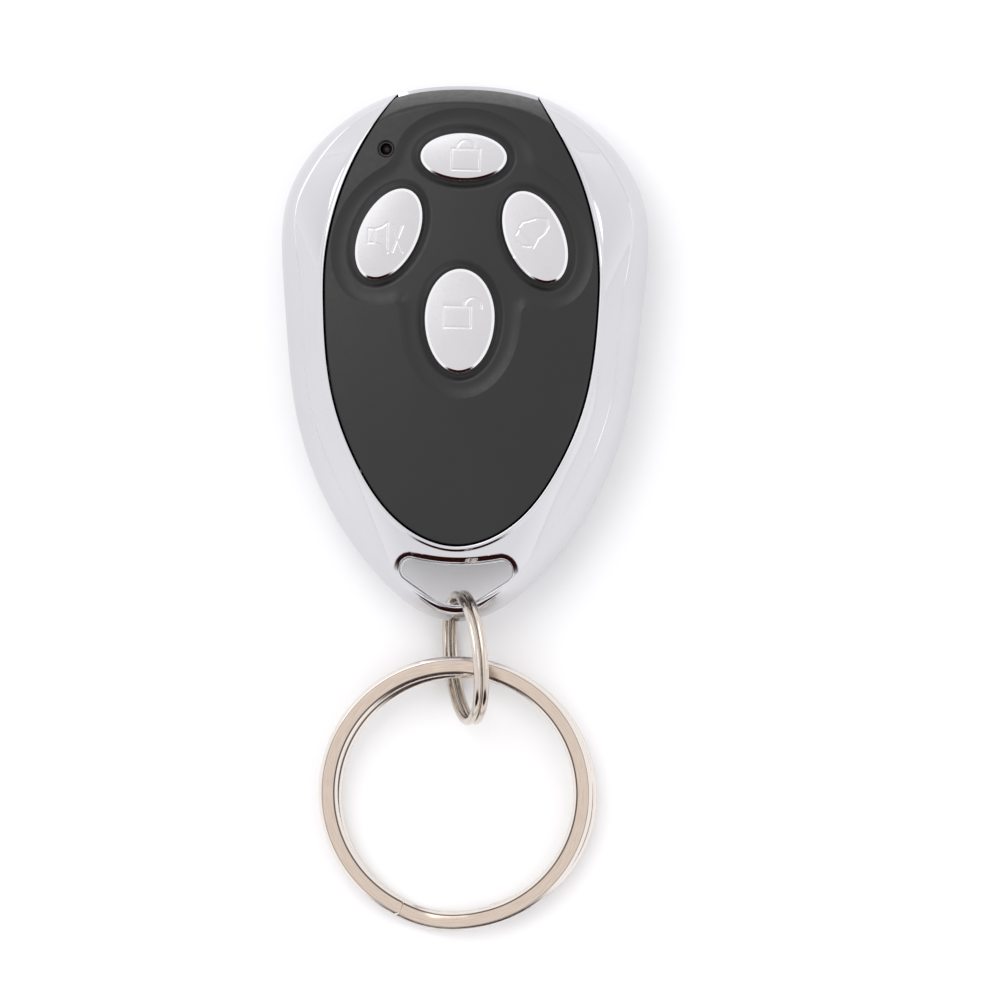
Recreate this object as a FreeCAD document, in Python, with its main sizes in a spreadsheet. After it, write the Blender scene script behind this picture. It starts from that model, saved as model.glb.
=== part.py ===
"""Key-ring garage door remote: pebble casing, four buttons, circuit board, battery and two split rings.

Frame: the casing lies on its back. The origin is on the flat back face, +X to the right,
+Y towards the head end (away from the rings) and +Z up through the buttons. Millimetres.
"""
import FreeCAD, Part
import math
import os

import Sketcher

Vector = FreeCAD.Vector
UP = Vector(0, 0, 1)
ALONG = Vector(0, 1, 0)

SIZES = (
    # Casing
    ("head_length", 29.15, "origin to the head end"),
    ("tail_length", 28.85, "origin to the tail end"),
    ("casing_width", 39.7, "across the shoulders"),
    ("casing_height", 14.0, "back face to the crown of the front"),
    ("parting_height", 6.0, "where rear shell and front meet"),
    ("crease_height", 9.5, "crease on the bright flank"),
    ("crown_rise", 1.5, "edge of the black panel to the crown"),
    ("edge_height", "=casing_height - crown_rise", "edge of the black panel"),
    ("frame_wall", 1.2, "wall of the bright frame"),
    ("rear_wall", 2.6, "side wall of the rear shell"),
    ("back_rounding", 3.3, "side wall rounds in to the back face"),
    ("inner_rounding", 0.05, "rounding kept inside, as a share of the wall"),
    ("floor_thickness", 1.4, "floor of the rear shell"),
    ("lip_height", 0.8, "locating lip above the parting line"),
    ("lip_clearance", 0.12, "lip to the walls around it"),
    ("tail_lift_start", 10.0, "origin to where the back starts to rise"),
    ("tail_lift_radius", 20.0, "bend at the start of the rise"),
    ("tail_lift_angle", 19.0, "slope of the rise, degrees"),
    # Front panel
    ("crown_margin", 0.6, "how far the band runs on above the crown that trims it"),
    ("panel_thickness", 1.5, "moulded thickness"),
    ("panel_step", 0.15, "panel below the bright edge"),
    ("panel_gap", 0.12, "panel edge to frame"),
    ("seat_gap", 0.05, "between faces that rest on each other"),
    ("ledge_width", 1.0, "frame ledge under the panel edge"),
    ("ledge_root", 0.8, "how deep the ledge is rooted in the frame's wall"),
    ("ledge_thickness", 0.65, "thickness of that ledge"),
    ("moat_depth", 0.35, "sunk area round the buttons"),
    ("moat_margin", 2.6, "button edge to the edge of the sunk area"),
    # Key-ring eyelet
    ("eyelet_bar", 1.65, "bar between eyelet and tail end"),
    ("eyelet_depth", 5.1, "along the casing"),
    ("eyelet_width", 12.2, "across the casing"),
    ("eyelet_corner", 1.2, "radius of the two wide corners"),
    ("eyelet_point", 4.2, "radius at the bar"),
    ("eyelet_dip", 0.55, "bow of the wide side"),
    ("eyelet_lip", 0.7, "bevel round the front of the eyelet"),
    ("eyelet_step", 0.1, "rear hole smaller than the front one"),
    ("cavity_wall", 2.3, "eyelet to the hollow"),
    ("cavity_tail", "=tail_length - eyelet_bar - eyelet_depth - cavity_wall", "origin to the hollow's tail end"),
    # Buttons
    ("lock_along", 21.3, "origin to the lock button"),
    ("lock_half_width", 4.7, "lock button"),
    ("lock_half_length", 2.6, "lock button"),
    ("side_along", 12.8, "origin to the two side buttons"),
    ("side_across", 7.9, "origin to the two side buttons"),
    ("side_half_width", 3.15, "side buttons"),
    ("side_half_length", 5.3, "side buttons"),
    ("side_turn", 25.0, "lean of the side buttons, degrees"),
    ("unlock_along", 3.95, "origin to the unlock button"),
    ("unlock_half_width", 3.8, "unlock button"),
    ("unlock_upper", 5.3, "unlock button, blunt end"),
    ("unlock_lower", 6.0, "unlock button, narrow end"),
    ("cap_gap", 0.25, "round each button"),
    ("dimple_width", 1.0, "sloping dimple round each button"),
    ("cap_bevel", 0.4, "bevel round each button"),
    ("cap_rise", 0.85, "button above the sunk area"),
    ("flange_width", 0.8, "flange that keeps the button in"),
    ("flange_thickness", 0.6, "same"),
    ("button_play", 0.1, "flange to its seat at rest"),
    ("button_travel", 0.3, "press"),
    ("pusher_diameter", 3.4, "post under each button"),
    # Indicator
    ("lamp_across", 8.45, "origin to the indicator, towards -X"),
    ("lamp_along", 22.0, "origin to the indicator"),
    ("lamp_hole", 1.3, "hole in the panel"),
    ("lamp_ring", 1.9, "countersink of the hole"),
    ("lamp_diameter", 3.0, "lens"),
    ("lamp_collar", 3.8, "collar of the lens"),
    ("collar_height", 1.0, "collar of the lens"),
    ("lamp_height", 4.6, "above the board"),
    # Circuit board and what it carries
    ("board_depth", 8.9, "crown to the underside of the board"),
    ("column_height", "=casing_height - board_depth", "back face to the underside of the board"),
    ("board_thickness", 1.0, "circuit board"),
    ("board_margin", 0.3, "board to rear wall"),
    ("board_end", 0.1, "board edge nearest the battery, beyond the origin"),
    ("switch_side", 6.0, "push switch, square"),
    ("switch_height", 3.5, "housing of the push switch"),
    ("switch_cover", 0.3, "metal plate on the switch"),
    ("stem_rise", 0.8, "switch stem above its cover"),
    ("stem_diameter", 3.3, "switch stem"),
    ("stem_length", 1.9, "switch stem"),
    ("stem_gap", 0.15, "stem to its hole"),
    ("plate_margin", 0.2, "metal plate inside the switch's edge"),
    ("chip_length", 8.7, "encoder chip"),
    ("chip_width", 3.9, "encoder chip"),
    ("chip_height", 1.5, "encoder chip"),
    ("chip_span", 6.0, "across the leads of the chip"),
    ("chip_stand", 0.1, "chip above the board"),
    ("lead_pitch", 1.27, "leads of the chip"),
    ("lead_width", 0.42, "leads of the chip"),
    ("lead_height", 0.7, "leads of the chip"),
    ("lead_gap", 0.02, "between each lead and the chip"),
    ("resonator_diameter", 8.4, "resonator can"),
    ("resonator_room", 0.5, "resonator can to the floor"),
    ("resonator_height", "=column_height - floor_thickness - resonator_room", "resonator can"),
    ("resonator_rim", 9.2, "rim of the can"),
    ("rim_thickness", 0.5, "rim of the can"),
    ("transistor_length", 2.9, "transistor"),
    ("transistor_width", 1.4, "transistor"),
    ("transistor_height", 1.1, "transistor"),
    ("trimmer_length", 4.4, "trimmer"),
    ("trimmer_width", 4.0, "trimmer"),
    ("trimmer_height", 1.4, "trimmer's base"),
    ("rotor_diameter", 3.0, "trimmer's rotor"),
    ("rotor_height", 0.6, "trimmer's rotor"),
    ("outer_across", 8.9, "trimmer and transistor, each on its side"),
    ("outer_along", 17.8, "trimmer and transistor"),
    ("small_part_length", 2.0, "resistors and capacitors"),
    ("small_part_width", 1.25, "resistors and capacitors"),
    ("small_part_pitch", 2.4, "two resistors in a row"),
    ("resistor_height", 0.55, "resistors"),
    ("capacitor_height", 0.8, "capacitors"),
    ("aerial_wire", 0.8, "loop aerial wire"),
    ("aerial_length", 9.0, "loop aerial"),
    ("aerial_height", 2.2, "loop aerial above the board"),
    ("aerial_margin", 2.1, "right switch to the loop aerial"),
    # Battery
    ("battery_diameter", 7.7, "12 V cell"),
    ("battery_room", 3.55, "wall to each end of the cell, for the contact strips"),
    ("battery_length", "=casing_width - 2 * ( rear_wall + battery_room )", "over the terminal"),
    ("battery_nub", 0.8, "terminal"),
    ("nub_diameter", 3.1, "terminal"),
    ("battery_along", 4.1, "origin to the cell's axis, towards -Y"),
    ("contact_thickness", 0.3, "sprung contact strips"),
    ("contact_height", 3.4, "sprung contact strips"),
    ("contact_reach", 1.4, "contact strips past the edge of the board"),
    ("leaf_bow", 0.45, "how far the sprung leaf bows towards the cell"),
    ("cell_bevel", 0.5, "edges of the cell"),
    # Screws
    ("screw_across", 11.6, "the upper two screws"),
    ("screw_along", 4.2, "the upper two screws"),
    ("screw_inset", 5.2, "tail end of the hollow to the lower screw"),
    ("screw_tail", "=cavity_tail - screw_inset", "origin to the lower screw, towards -Y"),
    ("screw_diameter", 1.9, "thread"),
    ("screw_length", 7.0, "under the head"),
    ("screw_head", 3.6, "head"),
    ("head_height", 1.2, "head"),
    ("recess_length", 2.3, "cross recess in the head"),
    ("recess_width", 0.55, "cross recess in the head"),
    ("recess_depth", 0.7, "cross recess in the head"),
    ("head_sink", 2.6, "back face to the seat of the heads"),
    ("screw_gap", 0.05, "screw to the hole it cuts into"),
    ("column_wall", 0.6, "round the sunk screw heads"),
    ("boss_diameter", 4.2, "pillars under the panel"),
    # Small split ring
    ("small_outside", 14.6, "outside diameter"),
    ("small_radial", 0.85, "wire, outwards"),
    ("small_axial", 0.62, "wire, along the ring's axis"),
    ("small_split", 0.42, "between the two turns"),
    ("small_bevel", 0.155, "edges of the wire"),
    ("small_across", 1.15, "centre"),
    ("small_beyond", 3.9, "tail end of the casing to the centre"),
    ("small_lift", 7.25, "table to the centre"),
    ("small_lean", 16.0, "off the upright, degrees"),
    ("small_tilt", 6.8, "off the length of the casing, degrees"),
    ("crossing", 36.0, "turn over which a ring's wire crosses over, degrees"),
    ("wire_ends", 2.5, "between each wire end and the crossing, degrees"),
    ("small_cross", 200.0, "where the wire crosses over, degrees"),
    # Key ring
    ("key_outside", 30.0, "outside diameter"),
    ("key_radial", 2.6, "band"),
    ("key_axial", 1.09, "each turn"),
    ("key_split", 0.42, "between the two turns"),
    ("key_bevel", 0.3, "edges of the band"),
    ("key_across", 0.43, "centre"),
    ("key_beyond", 18.65, "tail end of the casing to the centre"),
    ("key_lift", 2.4, "table to the centre"),
    ("key_tilt", 4.0, "because it lies on the small ring, degrees"),
    ("key_cross", 266.0, "where the band crosses over, degrees"),
)

# Half of each ring of the casing, from the head round to the tail. Each point is a share of the
# half width and a share of the head length (plus) or tail length (minus).
OUTLINE = ((0, 1), (0.418, 0.959), (0.735, 0.825), (0.931, 0.648), (1, 0.446), (0.977, 0.189),
           (0.937, -0.087), (0.856, -0.347), (0.67, -0.624), (0.388, -0.867), (0.17, -0.973), (0, -1))
CREASE = ((0, 0.973), (0.403, 0.931), (0.69, 0.807), (0.862, 0.642), (0.925, 0.463), (0.87, 0.18),
          (0.845, -0.087), (0.752, -0.343), (0.57, -0.592), (0.325, -0.82), (0.148, -0.912), (0, -0.93))
EDGE = ((0, 0.933), (0.327, 0.899), (0.519, 0.81), (0.655, 0.638), (0.736, 0.42), (0.752, 0.171),
        (0.716, -0.076), (0.61, -0.333), (0.448, -0.535), (0.24, -0.674), (0.115, -0.71), (0, -0.7175))
# Edge of the black panel, which runs out over the head end between the two bright horns.
PANEL = ((0.282, 1.063), (0.4225, 0.926), (0.6215, 0.686), (0.737, 0.412), (0.75, 0.171),
         (0.7, -0.139), (0.55, -0.416), (0.326, -0.624), (0, -0.7175))

# How far the creases of an inner wall draw in and drop, as shares of the wall's inset, so that the
# sloping walls keep their thickness.
CREASE_DRAW = 0.8
CREASE_DROP = 0.65
EDGE_DRAW = 0.6
EDGE_DROP = 0.95
# Bulge of the bright surround: shares of the way in and of the rise, on the flank and on the band.
FLANK = ((0.2, 0.3), (0.55, 0.65))
BAND = (0.5, 0.55)
# Section of the eyelet's rounded lip, halfway: shares of its width and of its depth.
LIP = (0.3, 0.35)
# How far a cutting tool runs past the face that it cuts, and how far a cut stays clear of one.
BEYOND = 1
CLEAR = 0.02
# Rounding of the rear shell into its back face: shares of the rounding and of the wall's height.
ROUNDING = ((0, 1), (0.075, 0.72), (0.29, 0.38), (0.6, 0.14), (0.88, 0.03), (1, 0))

doc = FreeCAD.newDocument("garage_remote")
sheet = doc.addObject("Spreadsheet::Sheet", "Sizes")
for row, (alias, value, note) in enumerate(SIZES, start=1):
    sheet.set(f"A{row}", note)
    sheet.set(f"B{row}", str(value))
    sheet.setAlias(f"B{row}", alias)
doc.recompute()


def size(alias):
    """A size from the sheet."""
    return float(sheet.get(alias))


def bind(target, **expressions):
    """Bind properties of an object to expressions on the sheet's sizes."""
    for name, expression in expressions.items():
        target.setExpression(name, sheet_names(expression))
    return target


def sheet_names(expression):
    """Write the bare size names of an expression as cells of the sheet."""
    words = expression.replace("(", " ( ").replace(")", " ) ").split()
    aliases = {row[0] for row in SIZES}
    return " ".join(f"Sizes.{word}" if word in aliases else word for word in words)


def place(target, across="0", along="0", height="0"):
    """Bind where an object stands."""
    for axis, expression in (("x", across), ("y", along), ("z", height)):
        target.setExpression(f"Placement.Base.{axis}", sheet_names(expression))
    return target


def cylinder(name, diameter, length, across="0", along="0", height="0"):
    rod = doc.addObject("Part::Cylinder", name)
    bind(rod, Radius=f"( {diameter} ) / 2", Height=length)
    return place(rod, across, along, height)


def block(name, width, depth, thickness, across="0", along="0", height="0"):
    """A box centred on its place, standing on its height."""
    box = doc.addObject("Part::Box", name)
    bind(box, Length=width, Width=depth, Height=thickness)
    return place(box, f"{across} - ( {width} ) / 2", f"{along} - ( {depth} ) / 2", height)


def feature(name, shape):
    """An object whose shape is worked out from the sheet's sizes."""
    made = doc.addObject("Part::Feature", name)
    made.Shape = shape
    return made


def cut(name, base, *tools):
    tool = tools[0] if len(tools) == 1 else fuse(f"{name}_tools", *tools)
    made = doc.addObject("Part::Cut", name)
    made.Base = base
    made.Tool = tool
    return made


def fuse(name, *parts):
    made = doc.addObject("Part::MultiFuse", name)
    made.Shapes = list(parts)
    return made


def extrude(name, profile, length):
    """Pull a flat profile up by a length."""
    made = doc.addObject("Part::Extrusion", name)
    made.Base = profile
    made.Dir = UP
    made.Solid = True
    made.setExpression("LengthFwd", sheet_names(length))
    return made


# Rings of the casing

def ring_points(shares):
    """Points of a closed ring, right side first, from shares of the driving sizes."""
    half_width = size("casing_width") / 2
    head = size("head_length")
    tail = size("tail_length")
    right = [Vector(across * half_width, along * (head if along > 0 else tail), 0) for across, along in shares]
    left = [Vector(-point.x, point.y, 0) for point in reversed(right[1:-1])]
    return right + left


def shrink(points, amount):
    """Move each point of a closed ring inwards, square to the ring."""
    count = len(points)
    moved = []
    for index, point in enumerate(points):
        run = points[(index + 1) % count] - points[index - 1]
        inward = Vector(run.y, -run.x, 0).normalize()
        moved.append(point + inward * amount)
    return moved


def blend(first, second, share):
    return [a + (b - a) * share for a, b in zip(first, second)]


def ring_wire(points, height):
    """A smooth closed wire through the points, in four stretches."""
    curve = Part.BSplineCurve()
    count = len(points)
    steps = [float(index) for index in range(count + 1)]
    curve.interpolate(Points=[Vector(p.x, p.y, height) for p in points], PeriodicFlag=True, Parameters=steps)
    ends = [round(count * quarter / 4) for quarter in range(5)]
    return Part.Wire([curve.toShape(start, end) for start, end in zip(ends, ends[1:])])


def loft(sections, ruled=False):
    wires = [ring_wire(points, height) for points, height in sections]
    return Part.makeLoft(wires, True, ruled)


def front_form(inset):
    """Upper half of the casing: steep flank, band from crease to panel edge, and crown.

    The inset draws it in on all sides and lowers its top, for the inner walls, which are straight
    between their rings.
    """
    outline = shrink(ring_points(OUTLINE), inset)
    crease = shrink(ring_points(CREASE), CREASE_DRAW * inset)
    edge = shrink(ring_points(EDGE), EDGE_DRAW * inset)
    inner = inset > size("panel_step")
    foot = size("parting_height")
    crease_level = size("crease_height") - CREASE_DROP * inset
    edge_level = size("edge_height") - EDGE_DROP * inset
    crown_level = size("casing_height") - inset
    flank_rise = crease_level - foot
    band_rise = edge_level - crease_level
    flank = [(outline, foot), (crease, crease_level)]
    if not inner:
        flank[1:1] = [(blend(outline, crease, share), foot + height * flank_rise) for share, height in FLANK]
    # The band runs on past the panel edge, until it is above the crown that trims it.
    over = crown_level - edge_level + size("crown_margin")
    band = [(crease, crease_level), (edge, edge_level), (shrink(edge, 1.5 * over), edge_level + over)]
    if not inner:
        band.insert(1, (blend(crease, edge, BAND[0]), crease_level + BAND[1] * band_rise))
    return loft(flank, inner).fuse(loft(band, inner)).common(crown_body(crown_level))


def crown_body(level):
    """Everything under the doubly curved crown of the front, at its full height in the middle."""
    edge = ring_points(EDGE)
    rise = size("casing_height") - size("edge_height")
    half_across = max(p.x for p in edge)
    half_along = (max(p.y for p in edge) - min(p.y for p in edge)) / 2
    middle = (max(p.y for p in edge) + min(p.y for p in edge)) / 2
    across_radius = half_across ** 2 / (2 * rise)
    along_radius = half_along ** 2 / (2 * rise)
    reach = size("casing_width")
    low = level - along_radius / 3
    turn = math.asin(reach / across_radius)
    side = level - across_radius * (1 - math.cos(turn))
    left = Vector(-reach, middle, side)
    right = Vector(reach, middle, side)
    left_foot = Vector(-reach, middle, low)
    right_foot = Vector(reach, middle, low)
    edges = [Part.Arc(left, Vector(0, middle, level), right).toShape(),
             Part.LineSegment(right, right_foot).toShape(),
             Part.LineSegment(right_foot, left_foot).toShape(),
             Part.LineSegment(left_foot, left).toShape()]
    axis = Vector(0, middle, level - along_radius)
    swing = math.degrees(math.asin(1.5 * half_along / along_radius))
    face = Part.Face(Part.Wire(edges))
    face.rotate(axis, Vector(1, 0, 0), -swing)
    return face.revolve(axis, Vector(1, 0, 0), 2 * swing)


def rear_form(inset, floor):
    """Lower half of the casing, rounded in to the flat back face."""
    outline = shrink(ring_points(OUTLINE), inset)
    rise = size("parting_height") - floor
    rounding = size("back_rounding")
    steps = ROUNDING
    if inset > 0:
        rounding -= inset * (1 - size("inner_rounding"))
        steps = ROUNDING[::2] + ROUNDING[-1:]
    sections = [(shrink(outline, share * rounding), floor + height * rise) for share, height in steps]
    return loft(sections, inset > 0)


def slab(low, high, tail=None):
    """A block over the whole casing between two heights, as far as a place near the tail."""
    reach = 2 * (size("head_length") + size("tail_length"))
    start = -reach if tail is None else tail
    return Part.makeBox(reach, reach - start, high - low, Vector(-reach / 2, start, low))


def tail_wedge(shift):
    """What is cut away under the tail, where the back rises to the eyelet."""
    start = -size("tail_lift_start")
    radius = size("tail_lift_radius")
    angle = math.radians(size("tail_lift_angle"))
    reach = 2 * size("tail_length")

    def on_bend(turn):
        return Vector(-reach, start - radius * math.sin(turn), radius * (1 - math.cos(turn)) + shift)

    bend_end = on_bend(angle)
    ramp_end = bend_end + Vector(0, -reach * math.cos(angle), reach * math.sin(angle))
    ramp_foot = Vector(-reach, ramp_end.y, -reach)
    start_foot = Vector(-reach, start, -reach)
    edges = [Part.Arc(on_bend(0), on_bend(angle / 2), bend_end).toShape(),
             Part.LineSegment(bend_end, ramp_end).toShape(),
             Part.LineSegment(ramp_end, ramp_foot).toShape(),
             Part.LineSegment(ramp_foot, start_foot).toShape(),
             Part.LineSegment(start_foot, on_bend(0)).toShape()]
    return Part.Face(Part.Wire(edges)).extrude(Vector(2 * reach, 0, 0))


def panel_prism(gap):
    """The panel's outline pulled up through the casing, grown or drawn in by a gap."""
    half_width = size("casing_width") / 2
    head = size("head_length")
    tail = size("tail_length")
    right = [Vector(across * half_width, along * (head if along > 0 else tail), 0) for across, along in PANEL]
    points = right + [Vector(-point.x, point.y, 0) for point in reversed(right[:-1])]
    moved = []
    for index, point in enumerate(points):
        run = points[min(index + 1, len(points) - 1)] - points[max(index - 1, 0)]
        moved.append(point + Vector(-run.y, run.x, 0).normalize() * gap)
    curve = Part.BSplineCurve()
    curve.interpolate(moved)
    edges = [curve.toShape(), Part.LineSegment(moved[-1], moved[0]).toShape()]
    return Part.Face(Part.Wire(edges)).extrude(UP * (2 * size("casing_height")))


def crown_height(across, along):
    """Height of the casing's crown over a place."""
    edge = ring_points(EDGE)
    rise = size("casing_height") - size("edge_height")
    half_across = max(p.x for p in edge)
    half_along = (max(p.y for p in edge) - min(p.y for p in edge)) / 2
    middle = (max(p.y for p in edge) + min(p.y for p in edge)) / 2
    return size("casing_height") - rise * ((across / half_across) ** 2 + ((along - middle) / half_along) ** 2)


# Buttons

def half_oval(across, along):
    """Half an ellipse from (across, 0) over (0, along) to (-across, 0)."""
    if abs(along) >= across:
        curve = Part.Ellipse(Vector(0, along, 0), Vector(-across if along > 0 else across, 0, 0), Vector())
        arc = curve.toShape(-math.pi / 2, math.pi / 2)
    else:
        arc = Part.Ellipse(Vector(across, 0, 0), Vector(0, along, 0), Vector()).toShape(0, math.pi)
    return arc


class Button:
    """Where a button sits, and the oval that its cap, hole, flange and seat share."""

    def __init__(self, name, across, along, half_width, upper, lower, turn):
        self.name = name
        self.across = across
        self.along = along
        self.half_width = half_width
        self.upper = upper
        self.lower = lower
        self.turn = turn

    def profile(self, name, grow, height):
        edges = [half_oval(self.half_width + grow, self.upper + grow),
                 half_oval(self.half_width + grow, -self.lower - grow)]
        oval = feature(name, Part.Wire(Part.__sortEdges__(edges)))
        oval.Placement = FreeCAD.Placement(Vector(self.across, self.along, height),
                                           FreeCAD.Rotation(UP, self.turn))
        return oval

    def crown(self):
        return crown_height(self.across, self.along)

    def seat(self):
        """Height of the flat seat under the panel that stops the flange."""
        return self.crown() - size("panel_step") - size("panel_thickness") + 2 * size("seat_gap")

    def top(self):
        return self.crown() - size("panel_step") - size("moat_depth") + size("cap_rise")

    def nearness(self, x, y):
        """Under one inside the sunk area's own oval of this button, over one outside it."""
        turn = math.radians(self.turn)
        right = (x - self.across) * math.cos(turn) + (y - self.along) * math.sin(turn)
        up = -(x - self.across) * math.sin(turn) + (y - self.along) * math.cos(turn)
        margin = size("moat_margin")
        length = (self.upper if up > 0 else self.lower) + margin
        return math.hypot(right / (self.half_width + margin), up / length)


BUTTONS = (
    Button("lock", 0, size("lock_along"), size("lock_half_width"), size("lock_half_length"),
           size("lock_half_length"), 0),
    Button("mute", -size("side_across"), size("side_along"), size("side_half_width"),
           size("side_half_length"), size("side_half_length"), -size("side_turn")),
    Button("alarm", size("side_across"), size("side_along"), size("side_half_width"),
           size("side_half_length"), size("side_half_length"), size("side_turn")),
    Button("unlock", 0, size("unlock_along"), size("unlock_half_width"), size("unlock_upper"),
           size("unlock_lower"), 0),
)
BOARD_TOP = "column_height + board_thickness"
STEM_TOP = f"{BOARD_TOP} + switch_height + switch_cover + stem_rise"


def moat_wire():
    """Clover-shaped edge of the sunk area: a soft union of the buttons' ovals, found along rays."""
    sharpness = 9
    rays = 36
    halvings = 40
    middle = (size("lock_along") + size("unlock_along")) / 2
    reach = size("lock_along")

    def outside(x, y):
        total = sum(math.exp(-sharpness * button.nearness(x, y)) for button in BUTTONS)
        return total < math.exp(-sharpness)

    points = []
    for index in range(rays):
        turn = 2 * math.pi * index / rays
        near = size("side_across") / 2
        far = reach
        for _ in range(halvings):
            probe = (near + far) / 2
            if outside(probe * math.sin(turn), middle + probe * math.cos(turn)):
                far = probe
            else:
                near = probe
        points.append(Vector(near * math.sin(turn), middle + near * math.cos(turn), 0))
    return ring_wire(points, size("crease_height"))


def make_button(button):
    """Cap, flange and post, moulded as one."""
    bevel = size("cap_bevel")
    flange_top = button.seat() - size("button_play")
    flange_foot = flange_top - size("flange_thickness")
    top = button.top()
    post_foot = size("column_height") + size("board_thickness") + size("switch_height")
    post_foot += size("switch_cover") + size("stem_rise") + size("seat_gap")
    flange = extrude(f"{button.name}_flange",
                     button.profile(f"{button.name}_flange_oval", size("flange_width"), flange_foot),
                     "flange_thickness")
    wall_oval = button.profile(f"{button.name}_wall_oval", 0, flange_foot)
    wall = doc.addObject("Part::Extrusion", f"{button.name}_wall")
    wall.Base = wall_oval
    wall.Dir = UP
    wall.Solid = True
    wall.LengthFwd = top - bevel - flange_foot
    rim = doc.addObject("Part::Loft", f"{button.name}_rim")
    rim.Sections = [button.profile(f"{button.name}_rim_low", 0, top - bevel),
                    button.profile(f"{button.name}_rim_high", -bevel, top)]
    rim.Solid = True
    rim.Ruled = True
    post = doc.addObject("Part::Cylinder", f"{button.name}_post")
    post.setExpression("Radius", "Sizes.pusher_diameter / 2")
    post.Height = flange_top - post_foot
    post.Placement.Base = Vector(button.across, button.along, post_foot)
    return fuse(f"{button.name}_button", flange, wall, rim, post)


def make_stem(button):
    """Stem of the push switch, which the button presses."""
    stem = cylinder(f"{button.name}_switch_stem", "stem_diameter", "stem_length",
                    str(button.across), str(button.along), f"{STEM_TOP} - stem_length")
    return stem


# Casing

def screw_places():
    across = size("screw_across")
    along = size("screw_along")
    return (Vector(across, along, 0), Vector(-across, along, 0), Vector(0, -size("screw_tail"), 0))


def eyelet_wire(grow, height):
    """Rounded, bowed triangle of the key-ring eyelet, its point towards the bar."""
    corner = size("eyelet_corner") + grow
    point = size("eyelet_point") + grow
    low = -size("tail_length") + size("eyelet_bar")
    high = low + size("eyelet_depth")
    side = Vector(size("eyelet_width") / 2 - size("eyelet_corner"), high - size("eyelet_corner"), height)
    foot = Vector(0, low + size("eyelet_point"), height)
    away = side - foot
    lean = math.atan2(away.y, away.x) - math.pi / 2 + math.asin((point - corner) / away.Length)

    def around(centre, radius, turn):
        return centre + Vector(radius * math.cos(turn), radius * math.sin(turn), 0)

    top = around(side, corner, math.pi / 2)
    side_low = around(side, corner, lean)
    foot_high = around(foot, point, lean)

    def mirror(place):
        return Vector(-place.x, place.y, place.z)

    dip = Vector(0, top.y - size("eyelet_dip"), height)
    bulge = around(side, corner, (math.pi / 2 + lean) / 2)
    edges = [Part.Arc(mirror(top), dip, top).toShape(),
             Part.Arc(top, bulge, side_low).toShape(),
             Part.LineSegment(side_low, foot_high).toShape(),
             Part.Arc(foot_high, around(foot, point, -math.pi / 2), mirror(foot_high)).toShape(),
             Part.LineSegment(mirror(foot_high), mirror(side_low)).toShape(),
             Part.Arc(mirror(side_low), mirror(bulge), mirror(top)).toShape()]
    return Part.Wire(edges)


def eyelet_hole(grow, low, high):
    return Part.Face(eyelet_wire(grow, low)).extrude(UP * (high - low))


def eyelet_bevel(grow, slope, level, toward):
    """Cuts the rounded lip where the eyelet meets a sloping outer face.

    The slope and the level are the face's, halfway along the eyelet; toward is 1 at the front, -1 at the back.
    """
    lip = size("eyelet_lip")
    middle = size("tail_length") - size("eyelet_bar") - size("eyelet_depth") / 2
    tool = Part.makeLoft([eyelet_wire(grow, -lip * toward),
                          eyelet_wire(grow + LIP[0] * lip, -LIP[1] * lip * toward),
                          eyelet_wire(grow + lip, 0), eyelet_wire(grow + lip, 4 * lip * toward)], True, True)
    slant = FreeCAD.Matrix()
    slant.A32 = slope
    slant.A34 = level + slope * middle
    return tool.transformGeometry(slant)


def front_bevel():
    """Lip of the eyelet on the bright frame, whose band slopes down to the tail."""
    crease_tail = -CREASE[-1][1] * size("tail_length")
    edge_tail = -EDGE[-1][1] * size("tail_length")
    middle = size("tail_length") - size("eyelet_bar") - size("eyelet_depth") / 2
    slope = (size("edge_height") - size("crease_height")) / (crease_tail - edge_tail)
    return eyelet_bevel(0, slope, size("crease_height") + slope * (crease_tail - middle), 1)


def rear_bevel():
    """Lip of the eyelet on the rear shell, where the back rises."""
    angle = math.radians(size("tail_lift_angle"))
    middle = size("tail_length") - size("eyelet_bar") - size("eyelet_depth") / 2
    radius = size("tail_lift_radius")
    bend_end = size("tail_lift_start") + radius * math.sin(angle)
    level = radius * (1 - math.cos(angle)) + (middle - bend_end) * math.tan(angle)
    return eyelet_bevel(-size("eyelet_step"), -math.tan(angle), level, -1)


def rods(diameter, low, high, spots):
    """Upright round rods at several places, joined."""
    made = [Part.makeCylinder(diameter / 2, high - low, Vector(spot.x, spot.y, low)) for spot in spots]
    return made[0].fuse(made[1:]) if len(made) > 1 else made[0]


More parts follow.
